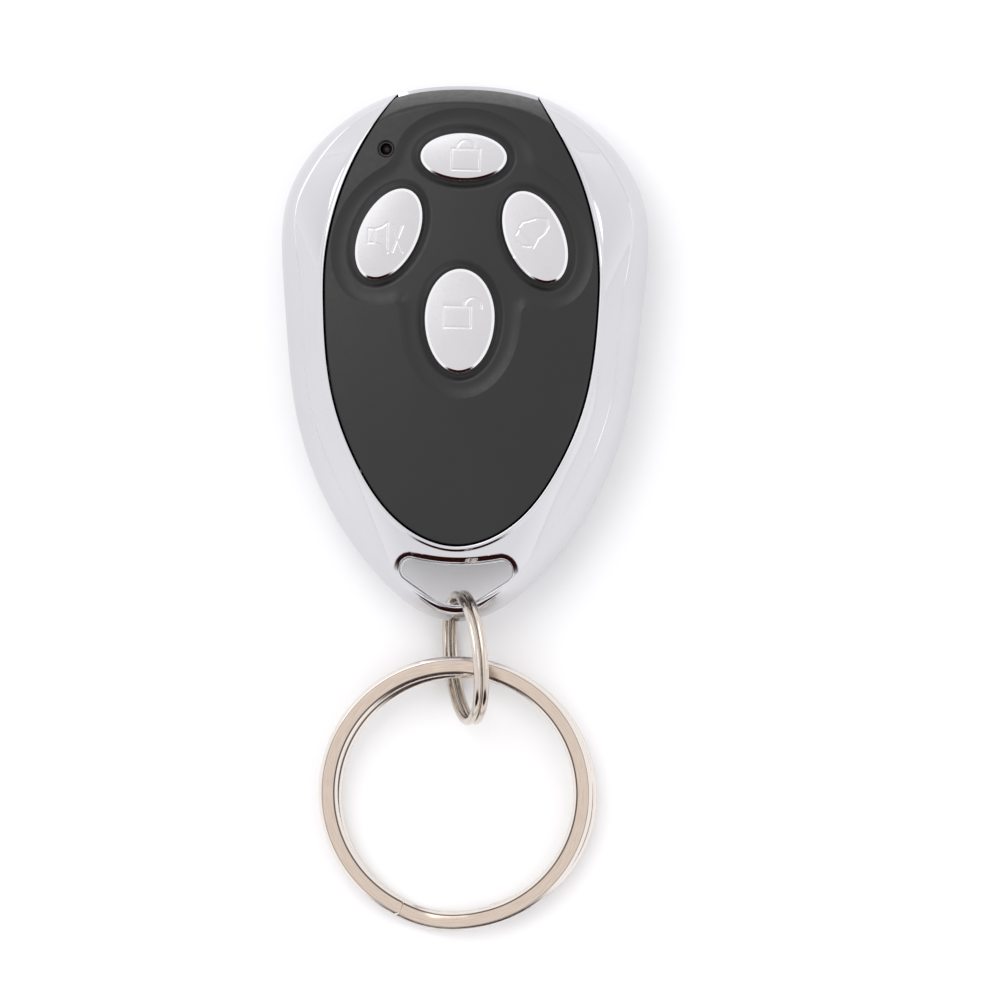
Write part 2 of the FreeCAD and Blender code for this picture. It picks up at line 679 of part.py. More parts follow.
def make_rear_shell():
    """Rear shell: hollow bowl, locating lip, screw columns and the rear half of the eyelet."""
    parting = size("parting_height")
    ceiling = 2 * size("casing_height")
    floor = size("floor_thickness")
    hollow_tail = -size("cavity_tail")
    bowl = rear_form(0, 0).cut(tail_wedge(0))
    hollow = rear_form(size("rear_wall"), floor).common(slab(0, ceiling, hollow_tail)).cut(tail_wedge(floor))
    lip_inset = max(size("frame_wall"), under_panel()) + size("lip_clearance")
    inner = Part.Face(ring_wire(shrink(ring_points(OUTLINE), size("rear_wall")), 0)).extrude(UP * ceiling)
    lip = front_form(lip_inset).cut(inner)
    lip = lip.common(slab(parting, parting + size("lip_height"), hollow_tail + size("seat_gap")))
    column_width = size("screw_head") + 4 * size("screw_gap") + 2 * size("column_wall")
    columns = rods(column_width, 0, size("column_height"), screw_places()).common(bowl)
    solid = feature("rear_solid", bowl.cut(hollow).fuse([lip, columns]))
    bores = []
    for number, spot in enumerate(screw_places(), start=1):
        across, along = str(spot.x), str(spot.y)
        bores.append(cylinder(f"head_bore_{number}", "screw_head + 4 * screw_gap", f"head_sink + {BEYOND}",
                              across, along, f"-{BEYOND}"))
        bores.append(cylinder(f"shank_bore_{number}", "screw_diameter + 4 * screw_gap",
                              "casing_height", across, along, f"-{BEYOND}"))
    eyelet = feature("rear_eyelet", eyelet_hole(-size("eyelet_step"), -BEYOND, ceiling))
    cut("rear_shell", solid, *bores, eyelet, feature("rear_bevel", rear_bevel()))


def make_frame():
    """Bright frame: a horseshoe with a ledge for the panel, closed round the eyelet."""
    parting = size("parting_height")
    ceiling = 2 * size("casing_height")
    hollow = front_form(size("frame_wall")).common(slab(0, ceiling, -size("cavity_tail")))
    ledge = front_form(size("frame_wall") - size("seat_gap"))
    ledge = ledge.cut(front_form(under_panel() + size("seat_gap") + size("ledge_thickness")))
    ledge = ledge.common(panel_prism(size("ledge_root"))).cut(panel_prism(-size("ledge_width")))
    ledge = ledge.common(slab(parting + size("lip_height") + 2 * size("seat_gap"), ceiling))
    pocket = panel_prism(0).cut(front_form(under_panel() + size("seat_gap") / 2))
    solid = feature("frame_solid", front_form(0).cut(hollow).fuse(ledge).cut(pocket))
    cut("chrome_frame", solid, feature("front_eyelet", eyelet_hole(0, 0, ceiling)),
        feature("front_bevel", front_bevel()))


def under_panel():
    """How far the panel's underside lies inside the casing's outer surface."""
    return size("panel_step") + size("panel_thickness")


def make_panel():
    """Black panel: crowned skin with the sunk clover, button holes, seats and screw bosses."""
    parting = size("parting_height")
    ceiling = 2 * size("casing_height")
    floor_inset = size("panel_step") + size("moat_depth")
    skin = front_form(size("panel_step")).common(panel_prism(-size("panel_gap"))).cut(front_form(under_panel()))
    moat = Part.Face(moat_wire()).extrude(UP * ceiling).cut(front_form(floor_inset))
    limit = front_form(size("panel_step") + size("panel_thickness") / 2)
    board_top = size("column_height") + size("board_thickness")
    upper = rods(size("boss_diameter"), board_top + size("seat_gap"), ceiling, screw_places()[:2])
    lower = rods(size("boss_diameter"), size("column_height") + size("seat_gap"), ceiling, screw_places()[2:])
    solid = feature("panel_solid", skin.cut(moat).fuse([upper.common(limit), lower.common(limit)]))
    tools = []
    for button in BUTTONS:
        hole = extrude(f"{button.name}_hole",
                       button.profile(f"{button.name}_hole_oval", size("cap_gap"), parting), "casing_height")
        seat = doc.addObject("Part::Extrusion", f"{button.name}_seat")
        seat.Base = button.profile(f"{button.name}_seat_oval", size("flange_width") + size("cap_gap"), parting)
        seat.Dir = UP
        seat.Solid = True
        seat.LengthFwd = button.seat() - parting
        floor_level = button.crown() - floor_inset
        well = doc.addObject("Part::Loft", f"{button.name}_well")
        well.Sections = [button.profile(f"{button.name}_well_low", size("cap_gap"),
                                        floor_level - size("moat_depth")),
                         button.profile(f"{button.name}_well_high", size("dimple_width"), floor_level + CLEAR),
                         button.profile(f"{button.name}_well_over", size("dimple_width"), floor_level + BEYOND)]
        well.Solid = True
        well.Ruled = True
        tools += [hole, seat, well]
    lamp = {"across": "- lamp_across", "along": "lamp_along"}
    lamp_level = crown_height(-size("lamp_across"), size("lamp_along")) - 2 * size("panel_step")
    tools.append(cylinder("lamp_bore", "lamp_hole", "2 * casing_height", **lamp))
    tools.append(cylinder("lamp_sink", "lamp_ring", str(BEYOND), **lamp, height=str(lamp_level)))
    for number, spot in enumerate(screw_places(), start=1):
        tools.append(cylinder(f"pilot_{number}", "screw_diameter + 2 * screw_gap",
                              "head_sink + screw_length + 4 * seat_gap", str(spot.x), str(spot.y)))
    cut("front_panel", solid, *tools)


# Sketched bodies

def new_body(name):
    made = doc.addObject("PartDesign::Body", name)
    made.Label = name
    return made


def new_sketch(body, name, height="0", role="XY_Plane"):
    plane = next(item for item in body.Origin.OriginFeatures if item.Role == role)
    made = body.newObject("Sketcher::SketchObject", name)
    made.AttachmentSupport = (plane, [""])
    made.MapMode = "FlatFace"
    made.setExpression("AttachmentOffset.Base.z", sheet_names(height))
    return made


def bound(sketch, constraint, name, expression):
    index = sketch.addConstraint(constraint)
    sketch.renameConstraint(index, name)
    sketch.setExpression(f"Constraints.{name}", sheet_names(expression))


def circle_sketch(body, name, diameter, height="0"):
    made = new_sketch(body, name, height)
    made.addGeometry(Part.Circle(Vector(), UP, 1), False)
    made.addConstraint(Sketcher.Constraint("Coincident", 0, 3, -1, 1))
    bound(made, Sketcher.Constraint("Diameter", 0, 2), "diameter", diameter)
    return made


def rectangle_sketch(body, name, width, depth, height="0", role="XY_Plane"):
    """A rectangle centred on the body's origin."""
    made = new_sketch(body, name, height, role)
    corners = [Vector(-1, -1, 0), Vector(1, -1, 0), Vector(1, 1, 0), Vector(-1, 1, 0)]
    for index in range(4):
        made.addGeometry(Part.LineSegment(corners[index], corners[(index + 1) % 4]), False)
    for index in range(4):
        made.addConstraint(Sketcher.Constraint("Coincident", index, 2, (index + 1) % 4, 1))
    for index, kind in enumerate(("Horizontal", "Vertical", "Horizontal", "Vertical")):
        made.addConstraint(Sketcher.Constraint(kind, index))
    made.addConstraint(Sketcher.Constraint("Symmetric", 0, 1, 2, 1, -1, 1))
    bound(made, Sketcher.Constraint("DistanceX", 0, 1, 0, 2, 2), "width", width)
    bound(made, Sketcher.Constraint("DistanceY", 1, 1, 1, 2, 2), "depth", depth)
    return made


def pad(body, sketch, length):
    made = body.newObject("PartDesign::Pad", f"{sketch.Name}_pad")
    made.Profile = sketch
    made.setExpression("Length", sheet_names(length))
    body.Tip = made
    return made


def round_stack(name, *discs):
    """A turned piece: discs given as diameter, length and height, one on another."""
    made = new_body(name)
    for number, (diameter, length, height) in enumerate(discs, start=1):
        pad(made, circle_sketch(made, f"{name}_circle_{number}", diameter, height), length)
    return made


def copies(name, pattern, spots):
    """One node that holds the same solid at several places, each given by its expressions."""
    links = []
    for number, (across, along) in enumerate(spots, start=1):
        moved = doc.addObject("App::Link", f"{name}_{number}")
        moved.LinkedObject = pattern
        for axis, expression in (("x", across), ("y", along)):
            moved.setExpression(f"Placement.Base.{axis}", sheet_names(expression))
        links.append(moved)
    group = doc.addObject("Part::Compound", name)
    group.Links = links
    return group


SWITCH_SPOTS = (("0", "lock_along"), ("- side_across", "side_along"),
                ("side_across", "side_along"), ("0", "unlock_along"))


def make_switches():
    """Four push switches under the buttons."""
    housing = new_body("switch_housing")
    pad(housing, rectangle_sketch(housing, "housing_square", "switch_side", "switch_side", BOARD_TOP),
        "switch_height")
    well = circle_sketch(housing, "housing_circle", "stem_diameter + 2 * stem_gap",
                         f"{BOARD_TOP} + switch_height")
    pocket = housing.newObject("PartDesign::Pocket", "housing_well")
    pocket.Profile = well
    pocket.setExpression("Length", sheet_names("stem_length - stem_rise - switch_cover + 2 * button_travel"))
    housing.Tip = pocket
    cover = new_body("switch_plate")
    plate_height = f"{BOARD_TOP} + switch_height"
    pad(cover, rectangle_sketch(cover, "plate_square", "switch_side - 2 * plate_margin",
                                "switch_side - 2 * plate_margin", plate_height),
        "switch_cover")
    mouth = circle_sketch(cover, "plate_circle", "stem_diameter + 2 * stem_gap", plate_height)
    opening = cover.newObject("PartDesign::Pocket", "plate_mouth")
    opening.Profile = mouth
    opening.Reversed = True
    opening.setExpression("Length", sheet_names("switch_cover"))
    cover.Tip = opening
    copies("switch_bodies", housing, SWITCH_SPOTS)
    copies("switch_covers", cover, SWITCH_SPOTS)


CHIP_ALONG = "( lock_along + unlock_along ) / 2"


def make_board():
    """Circuit board, held between the screw columns and the bosses of the panel."""
    ring = feature("board_ring", Part.Face(ring_wire(
        shrink(ring_points(OUTLINE), size("rear_wall") + size("board_margin")), size("column_height"))))
    blank = extrude("board_blank", ring, "board_thickness")
    lower = block("board_lower", "casing_width", "2 * tail_length", "casing_height",
                  along="board_end - tail_length")
    tools = [lower]
    slot_length = "2 * ( board_end + contact_reach + 4 * seat_gap )"
    for number, spot in enumerate(screw_places()[:2], start=1):
        tools.append(cylinder(f"board_hole_{number}", "screw_diameter + 8 * screw_gap", "casing_height",
                              str(spot.x), str(spot.y)))
    for side in ("", "- "):
        name = "slot_right" if side == "" else "slot_left"
        middle = "battery_length / 2 + 2 * seat_gap + contact_thickness / 2"
        if side:
            middle = f"- ( {middle} ) - leaf_bow"
        tools.append(block(name, "contact_thickness + 4 * seat_gap", slot_length, "casing_height", across=middle))
    cut("circuit_board", blank, *tools)


def make_chip():
    """Encoder chip between the buttons, with seven leads a side."""
    chip = new_body("encoder_chip")
    pad(chip, rectangle_sketch(chip, "chip_square", "chip_width", "chip_length", f"{BOARD_TOP} + chip_stand"),
        "chip_height")
    place(chip, along=CHIP_ALONG)
    leads = []
    for side in (1, -1):
        for number in range(7):
            across = f"{side} * ( chip_width / 2 + lead_gap + ( chip_span - chip_width ) / 4 )"
            along = f"{CHIP_ALONG} + {number - 3} * lead_pitch"
            width = "( chip_span - chip_width ) / 2 - 2 * lead_gap"
            leads.append(block(f"chip_lead_{'right' if side > 0 else 'left'}_{number + 1}", width, "lead_width",
                               "lead_height", across, along, BOARD_TOP))
    group = doc.addObject("Part::Compound", "encoder_leads")
    group.Links = leads


def make_components():
    """Small parts of the transmitter, on both faces of the board."""
    under = "column_height"
    can = round_stack("saw_resonator",
                      ("resonator_diameter", "resonator_height - rim_thickness", f"{under} - resonator_height"),
                      ("resonator_rim", "rim_thickness", f"{under} - rim_thickness"))
    place(can, along=CHIP_ALONG)
    transistor = new_body("rf_transistor")
    pad(transistor, rectangle_sketch(transistor, "transistor_square", "transistor_length", "transistor_width",
                                     f"{under} - transistor_height"), "transistor_height")
    place(transistor, "outer_across", "outer_along")
    trimmer = new_body("trimmer_capacitor")
    pad(trimmer, rectangle_sketch(trimmer, "trimmer_square", "trimmer_length", "trimmer_width",
                                  f"{under} - trimmer_height"), "trimmer_height")
    pad(trimmer, circle_sketch(trimmer, "trimmer_circle", "rotor_diameter",
                               f"{under} - trimmer_height - rotor_height"), "rotor_height")
    place(trimmer, "- outer_across", "outer_along")
    beside = "switch_side / 2 + small_part_length"
    beside_left = "- switch_side / 2 - small_part_length"
    near = "unlock_half_width + small_part_length"
    near_left = "- unlock_half_width - small_part_length"
    low = "unlock_along - 2 * small_part_width"
    group_of_small_parts("chip_resistors", "resistor_height",
                         ((near, low), (f"{near} + small_part_pitch", low),
                          (near_left, low), (f"{near_left} - small_part_pitch", low),
                          (beside, "lock_along + small_part_width"), (beside_left, "lock_along")))
    group_of_small_parts("chip_capacitors", "capacitor_height",
                         ((beside, "side_along - switch_side + small_part_width"),
                          (beside_left, "side_along - switch_side + small_part_width"),
                          (beside, "lock_along - small_part_width"),
                          (beside_left, "lock_along - 2 * small_part_width")))


def group_of_small_parts(name, height, spots):
    """Surface-mount parts of one kind, each at its place on the board's front."""
    parts = []
    for number, (across, along) in enumerate(spots, start=1):
        parts.append(block(f"{name}_{number}", "small_part_length", "small_part_width", height,
                           across, along, BOARD_TOP))
    group = doc.addObject("Part::Compound", name)
    group.Links = parts


def make_lamp():
    """Indicator lamp that shines through the small hole by the left horn."""
    lens = round_stack("indicator_lamp",
                       ("lamp_collar", "collar_height", BOARD_TOP),
                       ("lamp_diameter", "lamp_height - lamp_diameter / 2", BOARD_TOP))
    dome = lens.newObject("PartDesign::AdditiveSphere", "lamp_dome")
    dome.setExpression("Radius", sheet_names("lamp_diameter / 2"))
    dome.setExpression("AttachmentOffset.Base.z", sheet_names(f"{BOARD_TOP} + lamp_height - lamp_diameter / 2"))
    plane = next(item for item in lens.Origin.OriginFeatures if item.Role == "XY_Plane")
    dome.AttachmentSupport = (plane, [""])
    dome.MapMode = "FlatFace"
    lens.Tip = dome
    place(lens, "- lamp_across", "lamp_along")


def make_aerial():
    """Wire loop that stands on the board beside the right button, with mitred corners."""
    wire = size("aerial_wire")
    half = size("aerial_length") / 2
    top = size("aerial_height")
    slant = wire / 2
    path = [Vector(0, -half, 0), Vector(0, -half, top - slant), Vector(0, slant - half, top),
            Vector(0, half - slant, top), Vector(0, half, top - slant), Vector(0, half, 0)]
    sections = []
    for index, corner in enumerate(path):
        run = path[min(index + 1, len(path) - 1)] - path[max(index - 1, 0)]
        sections.append(octagon(corner, run, wire))
    loop = feature("loop_aerial", Part.makeLoft(sections, True, True))
    loop.Placement.Base = Vector(size("side_across") + size("switch_side") / 2 + size("aerial_margin"),
                                 size("side_along"), size("column_height") + size("board_thickness"))


def octagon(middle, run, width):
    """Eight-sided section of a thin wire, square to its run in the upright plane along the casing."""
    outward = run.cross(Vector(1, 0, 0)).normalize()
    corners = []
    for number in range(8):
        turn = math.radians(45 * number + 22.5)
        corners.append(middle + (Vector(1, 0, 0) * math.cos(turn) + outward * math.sin(turn)) * (width / 2))
    return Part.makePolygon(corners + corners[:1])


def folded_strip(points, thickness, height):
    """A strip of sheet metal that stands on edge and follows the points."""
    shape = None
    for start, end in zip(points, points[1:]):
        run = end - start
        panel = Part.makeBox(run.Length, thickness, height, Vector(0, -thickness / 2, 0))
        panel.rotate(Vector(), UP, math.degrees(math.atan2(run.y, run.x)))
        panel.translate(start)
        bend = Part.makeCylinder(thickness / 2, height, end)
        piece = panel.fuse(bend)
        shape = piece if shape is None else shape.fuse(piece)
    return shape.removeSplitter()


def make_battery():
    """Cell that lies across the casing, and the two contact strips that hold it."""
    axis_height = size("floor_thickness") + size("seat_gap") + size("battery_diameter") / 2
    cell = new_body("battery")
    body_length = "battery_length - battery_nub"
    pad(cell, circle_sketch(cell, "cell_circle", "battery_diameter"), body_length)
    jacket = cell.Tip
    edges = circular_edges(jacket)
    bevel = cell.newObject("PartDesign::Chamfer", "cell_bevel")
    bevel.Base = (jacket, edges)
    bevel.setExpression("Size", "Sizes.cell_bevel")
    cell.Tip = bevel
    pad(cell, circle_sketch(cell, "nub_circle", "nub_diameter", body_length), "battery_nub")
    cell.Placement = FreeCAD.Placement(Vector(-size("battery_length") / 2, -size("battery_along"), axis_height),
                                       FreeCAD.Rotation(ALONG, 90))
    reach = size("battery_length") / 2 + 2 * size("seat_gap")
    thickness = size("contact_thickness")
    height = size("contact_height")
    along = -size("battery_along")
    board_end = size("board_end") + size("contact_reach")
    half = height / 2
    front = reach + thickness / 2
    plate = folded_strip([Vector(front, along - half, 0), Vector(front, board_end, 0)], thickness, height)
    right = feature("positive_contact", plate)
    right.Placement.Base = Vector(0, 0, axis_height - height / 2)
    back = front + size("leaf_bow")
    leaf = folded_strip([Vector(-back, board_end, 0), Vector(-back, along - half, 0), Vector(-front, along, 0),
                         Vector(-(front + back) / 2, along + half, 0)], thickness, height)
    left = feature("negative_contact", leaf)
    left.Placement.Base = Vector(0, 0, axis_height - height / 2)


def circular_edges(turned):
    """Names of the circular edges of a turned feature."""
    doc.recompute()
    return [f"Edge{number}" for number, edge in enumerate(turned.Shape.Edges, start=1)
            if edge.Closed and isinstance(edge.Curve, Part.Circle)]


def make_screws():
    """Three self-tapping screws that come in from the back, each with a cross recess."""
    pattern = round_stack("cover_screw",
                          ("screw_diameter", "screw_length", "head_sink"),
                          ("screw_head", "head_height", "head_sink - head_height"))
    for name, width, depth in (("recess_across", "recess_length", "recess_width"),
                               ("recess_along", "recess_width", "recess_length")):
        slot = pattern.newObject("PartDesign::Pocket", name)
        slot.Profile = rectangle_sketch(pattern, f"{name}_square", width, depth, "head_sink - head_height")
        slot.Reversed = True
        bind(slot, Length="recess_depth")
        pattern.Tip = slot
    spots = (("screw_across", "screw_along"), ("- screw_across", "screw_along"), ("0", "- screw_tail"))
    copies("cover_screws", pattern, spots)


# Split rings

def bevelled_section(radial, axial, bevel):
    """Corners of the wire's section, in outward and axial distances from its middle."""
    half_out = radial / 2
    half_up = axial / 2
    return [(half_out - bevel, -half_up), (half_out, bevel - half_up), (half_out, half_up - bevel),
            (half_out - bevel, half_up), (bevel - half_out, half_up), (-half_out, half_up - bevel),
            (-half_out, bevel - half_up), (bevel - half_out, -half_up)]


def split_ring(outside, radial, axial, split, bevel, cross):
    """Two turns of one wire: a flat turn, a ramp that crosses over, and a second flat turn."""
    middle = (outside - radial) / 2
    pitch = axial + split
    ramp = size("crossing")
    clear = size("wire_ends")
    corners = bevelled_section(radial, axial, bevel)

    def section(turn, height):
        direction = Vector(math.cos(math.radians(turn)), math.sin(math.radians(turn)), 0)
        points = [direction * (middle + out) + UP * (height + up) for out, up in corners]
        return Part.makePolygon(points + points[:1])

    ramp_start = cross - ramp / 2
    ramp_end = cross + ramp / 2
    lower_start = ramp_end - 360 + clear
    low = -pitch / 2
    lower = Part.Face(section(lower_start, low)).revolve(Vector(), UP, ramp_start - lower_start)
    upper = Part.Face(section(ramp_end, -low)).revolve(Vector(), UP, 360 - ramp - clear)
    steps = 8
    sections = []
    for step in range(steps + 1):
        share = step / steps
        rise = share * share * (3 - 2 * share)
        sections.append(section(ramp_start + ramp * share, low + pitch * rise))
    bridge = Part.makeLoft(sections, True, False)
    ring = lower.fuse([bridge, upper])
    gap = min(upper.distToShape(lower)[0], split)
    return ring, gap


def make_rings():
    """The small ring in the eyelet and the key ring in it, as they lie on the table."""
    tail = -size("tail_length")
    small, gap = split_ring(size("small_outside"), size("small_radial"), size("small_axial"),
                            size("small_split"), size("small_bevel"), size("small_cross"))
    print(f"small ring: least gap between its turns {gap:.3f} mm")
    tilt = math.radians(size("small_tilt"))
    lean = math.radians(size("small_lean"))
    inward = Vector(-math.sin(tilt), math.cos(tilt), 0)
    side = Vector(math.cos(tilt), math.sin(tilt), 0)
    upward = side * math.sin(lean) + UP * math.cos(lean)
    turned = FreeCAD.Rotation(inward, upward, inward.cross(upward), "ZXY")
    small_ring = feature("small_ring", small)
    small_ring.Placement = FreeCAD.Placement(
        Vector(size("small_across"), tail - size("small_beyond"), size("small_lift")), turned)
    key, gap = split_ring(size("key_outside"), size("key_radial"), size("key_axial"),
                          size("key_split"), size("key_bevel"), size("key_cross"))
    print(f"key ring: least gap between its turns {gap:.3f} mm")
    key_ring = feature("key_ring", key)
    key_ring.Placement = FreeCAD.Placement(
        Vector(size("key_across"), tail - size("key_beyond"), size("key_lift")),
        FreeCAD.Rotation(Vector(1, 0, 0), size("key_tilt")))


make_rear_shell()
make_frame()
make_panel()
for item in BUTTONS:
    make_button(item)
    make_stem(item)
make_switches()
make_board()
make_chip()
make_components()
make_lamp()
make_aerial()
make_battery()
make_screws()
make_rings()

NODES = ("rear_shell", "chrome_frame", "front_panel",
         "lock_button", "mute_button", "alarm_button", "unlock_button",
         "lock_switch_stem", "mute_switch_stem", "alarm_switch_stem", "unlock_switch_stem",
         "switch_bodies", "switch_covers", "circuit_board", "encoder_chip", "encoder_leads",
         "saw_resonator", "rf_transistor", "trimmer_capacitor", "chip_resistors", "chip_capacitors",
         "indicator_lamp", "loop_aerial", "battery", "positive_contact", "negative_contact",
         "cover_screws", "small_ring", "key_ring")

doc.recompute()
for item in doc.Objects:
    if "Invalid" in item.State or "Error" in item.State:
        raise RuntimeError(f"{item.Name} is {item.State}")
shapes = {}
for name in NODES:
    item = doc.getObject(name)
    item.Label = name
    shape = item.Shape
    if shape.isNull() or not shape.isValid() or not shape.Solids:
        raise RuntimeError(f"{name} has no valid solid")
    shapes[name] = shape
os.makedirs("parts", exist_ok=True)
for name, shape in shapes.items():
    shape.exportStep(os.path.join("parts", f"{name}.step"))
    box = shape.BoundBox
    print(f"{name}: {len(shape.Solids)} solids, {shape.Volume:.1f} mm3, "
          f"z {box.ZMin:.2f} to {box.ZMax:.2f}, y {box.YMin:.2f} to {box.YMax:.2f}")
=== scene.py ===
import math

import bpy
import numpy as np
from mathutils import Matrix, Vector
from mathutils.geometry import delaunay_2d_cdt


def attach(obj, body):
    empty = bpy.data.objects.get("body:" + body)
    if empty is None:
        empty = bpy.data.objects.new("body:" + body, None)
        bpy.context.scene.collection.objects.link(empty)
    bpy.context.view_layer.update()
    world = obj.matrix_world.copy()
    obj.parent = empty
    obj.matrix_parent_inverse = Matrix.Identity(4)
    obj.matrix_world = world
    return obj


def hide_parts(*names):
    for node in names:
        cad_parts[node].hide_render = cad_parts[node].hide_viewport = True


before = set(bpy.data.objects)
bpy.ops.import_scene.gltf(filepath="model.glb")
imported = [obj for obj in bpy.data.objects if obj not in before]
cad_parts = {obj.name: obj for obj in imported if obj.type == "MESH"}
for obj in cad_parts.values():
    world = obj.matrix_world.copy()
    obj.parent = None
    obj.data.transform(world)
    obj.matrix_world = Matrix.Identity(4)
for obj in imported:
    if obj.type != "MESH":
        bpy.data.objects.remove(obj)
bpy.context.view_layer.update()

MM = 0.001

# Sizes of the casing in millimetres, in the part's frame

HALF_WIDTH = 19.85
HEAD = 29.15
TAIL = 28.85
PARTING = 6.0
CREASE_HEIGHT = 9.5
EDGE_HEIGHT = 12.5
CROWN = 14.0
# Rings round the casing: shares of its half width, and of its length towards the head or the tail
OUTLINE = ((0, 1), (0.418, 0.959), (0.735, 0.825), (0.931, 0.648), (1, 0.446), (0.977, 0.189),
           (0.937, -0.087), (0.856, -0.347), (0.67, -0.624), (0.388, -0.867), (0.17, -0.973), (0, -1))
CREASE = ((0, 0.973), (0.403, 0.931), (0.69, 0.807), (0.862, 0.642), (0.925, 0.463), (0.87, 0.18),
          (0.845, -0.087), (0.752, -0.343), (0.57, -0.592), (0.325, -0.82), (0.148, -0.912), (0, -0.93))
EDGE = ((0, 0.933), (0.327, 0.899), (0.519, 0.81), (0.655, 0.638), (0.736, 0.42), (0.752, 0.171),
        (0.716, -0.076), (0.61, -0.333), (0.448, -0.535), (0.24, -0.674), (0.115, -0.71), (0, -0.7175))
PANEL = ((0.282, 1.063), (0.4225, 0.926), (0.6215, 0.686), (0.737, 0.412), (0.75, 0.171),
         (0.7, -0.139), (0.55, -0.416), (0.326, -0.624), (0, -0.7175))
# How many steps a ring's curve takes between two points, so that reflections in it stay smooth
FINE = 200
# Profiles of the front by the share of the way in: factors of the share and its powers
FLANK_PROFILE = (1.751, -1.383, 0.632)
BAND_PROFILE = (1.2, -0.2)
BAND_END_SLOPE = 0.8
CREASE_SOFTNESS = 0.08
CROWN_BLEND = 0.3
# Bead on the crease, and where it fades out along the casing
BEAD_HEIGHT = 0.11
BEAD_WIDTH = 0.105
BEAD_TAIL = (-21, -13)
BEAD_HEAD = (28, 25)
# Panel
PANEL_GAP = 0.12
PANEL_STEP = 0.15
PANEL_ROUNDING = 0.2
PANEL_HEAD_GAP = 0.42
WALL = 1.2
MOAT = 0.35
MOAT_START = 0.12
MOAT_SLOPE = 1.4
MOAT_MARGIN = 2.6
MOAT_BLEND = 9
WELL = 0.35
WELL_SLOPE = (0.2, 1.05)
# Bright frame: rounded edge and bead beside the panel
FRAME_ROUNDING = 0.18
FRAME_BEAD = 0.13
FRAME_BEAD_SLOPE = (0.3, 0.62)
# Buttons: across, along, half width, upper and lower half length, turn in degrees
BUTTONS = {"lock": (0, 21.3, 4.7, 2.6, 2.6, 0), "mute": (-7.9, 12.8, 3.15, 5.3, 5.3, -25),
           "alarm": (7.9, 12.8, 3.15, 5.3, 5.3, 25), "unlock": (0, 3.95, 3.8, 5.3, 6.0, 0)}
CAP_GAP = 0.25
CAP_PROUD = 0.85
CAP_INSET = 0.34
CAP_CROWN = 0.14
STROKE = 0.34
STROKE_DEPTH = 0.045
LAMP = (-8.45, 22.0)
LAMP_HOLE = 0.65
LAMP_DISH = 0.25
LAMP_SLOPE = (0.7, 1.0)
EYELET_FOOT = -27.2
EYELET_DEPTH = 5.1
EYELET_WIDTH = 12.2
EYELET_CORNER = 1.2
EYELET_POINT = 4.2
EYELET_BOW = 0.55
# The rear shell's hole is that much smaller than the frame's.
EYELET_STEP = 0.1
LIP = 0.7
LIP_DEPTH = 0.7
LIP_ROUNDING = 0.3
HEAD_SLANT = 0.43
CORNER_SLANT_LOSS = 0.12
BAR_SLANT = 0.3
BAR_BEAD = 0.12
# Rear shell: rounding of its edge as share of the way in and share of the height
ROUNDING = ((0, 1), (0.075, 0.72), (0.29, 0.38), (0.6, 0.14), (0.88, 0.03), (1, 0))
REAR_ROUNDING = 3.3
REAR_BLEND = 0.4
SCREWS = ((11.6, 4.2), (-11.6, 4.2), (0.0, -14.6))
SCREW_BORE = 1.9
BORE_EDGE = 0.25
BORE_DISH = 0.15
BORE_DEPTH = 2.6
MIDDLE = np.array((0.0, 3.0))


# Curves in the plane

def spline(points, closed, steps=16):
    """Smooth curve through points: the same cubic spline as the casing's rings."""
    p = np.array(points, float)
    n = len(p)
    system = np.zeros((n, n))
    for i in range(n):
        system[i, i] = 4
        system[i, (i + 1) % n] += 1
        system[i, (i - 1) % n] += 1
    right = 3 * (np.roll(p, -1, 0) - np.roll(p, 1, 0))
    if not closed:
        system[0] = 0
        system[-1] = 0
        system[0, :2] = 2, 1
        system[-1, -2:] = 1, 2
        right[0] = 3 * (p[1] - p[0])
        right[-1] = 3 * (p[-1] - p[-2])
    slope = np.linalg.solve(system, right)
    t = np.linspace(0, 1, steps, endpoint=False)[:, None]
    out = []
    for i in range(n if closed else n - 1):
        j = (i + 1) % n
        out.append((2 * t**3 - 3 * t**2 + 1) * p[i] + (t**3 - 2 * t**2 + t) * slope[i]
                   + (3 * t**2 - 2 * t**3) * p[j] + (t**3 - t**2) * slope[j])
    if not closed:
        out.append(p[-1:])
    return np.concatenate(out)


def full_turn(count):
    return np.linspace(0, 2 * math.pi, count, endpoint=False)


def circle(middle, radius, turn):
    return np.stack([middle[0] + radius * np.cos(turn), middle[1] + radius * np.sin(turn)], 1)


def ring_points(shares):
    right = [(a * HALF_WIDTH, b * (HEAD if b > 0 else TAIL)) for a, b in shares]
    return np.array(right + [(-x, y) for x, y in reversed(right[1:-1])])


def shrink(points, amount):
    run = np.roll(points, -1, 0) - np.roll(points, 1, 0)
    inward = np.stack([run[:, 1], -run[:, 0]], 1)
    return points + inward / np.linalg.norm(inward, axis=1)[:, None] * amount


class Polar:
    """Distance of a closed curve from the middle of the casing, by direction."""

    def __init__(self, curve):
        d = curve - MIDDLE
        turn = np.arctan2(d[:, 1], d[:, 0])
        order = np.argsort(turn)
        self.turn = turn[order]
        self.reach = np.hypot(d[order, 0], d[order, 1])

    def __call__(self, turn):
        return np.interp(turn, self.turn, self.reach, period=2 * math.pi)


def panel_curve(steps=24):
    right = [(a * HALF_WIDTH, b * (HEAD if b > 0 else TAIL)) for a, b in PANEL]
    points = right + [(-x, y) for x, y in reversed(right[:-1])]
    return spline(points, False, steps)


outline = Polar(spline(ring_points(OUTLINE), True, FINE))
crease = Polar(spline(ring_points(CREASE), True, FINE))
edge = Polar(spline(ring_points(EDGE), True, FINE))
panel_line = Polar(panel_curve(FINE))


def smooth_min(a, b, k):
    return np.minimum(a, b) - np.maximum(k - np.abs(a - b), 0) ** 2 / (4 * k)


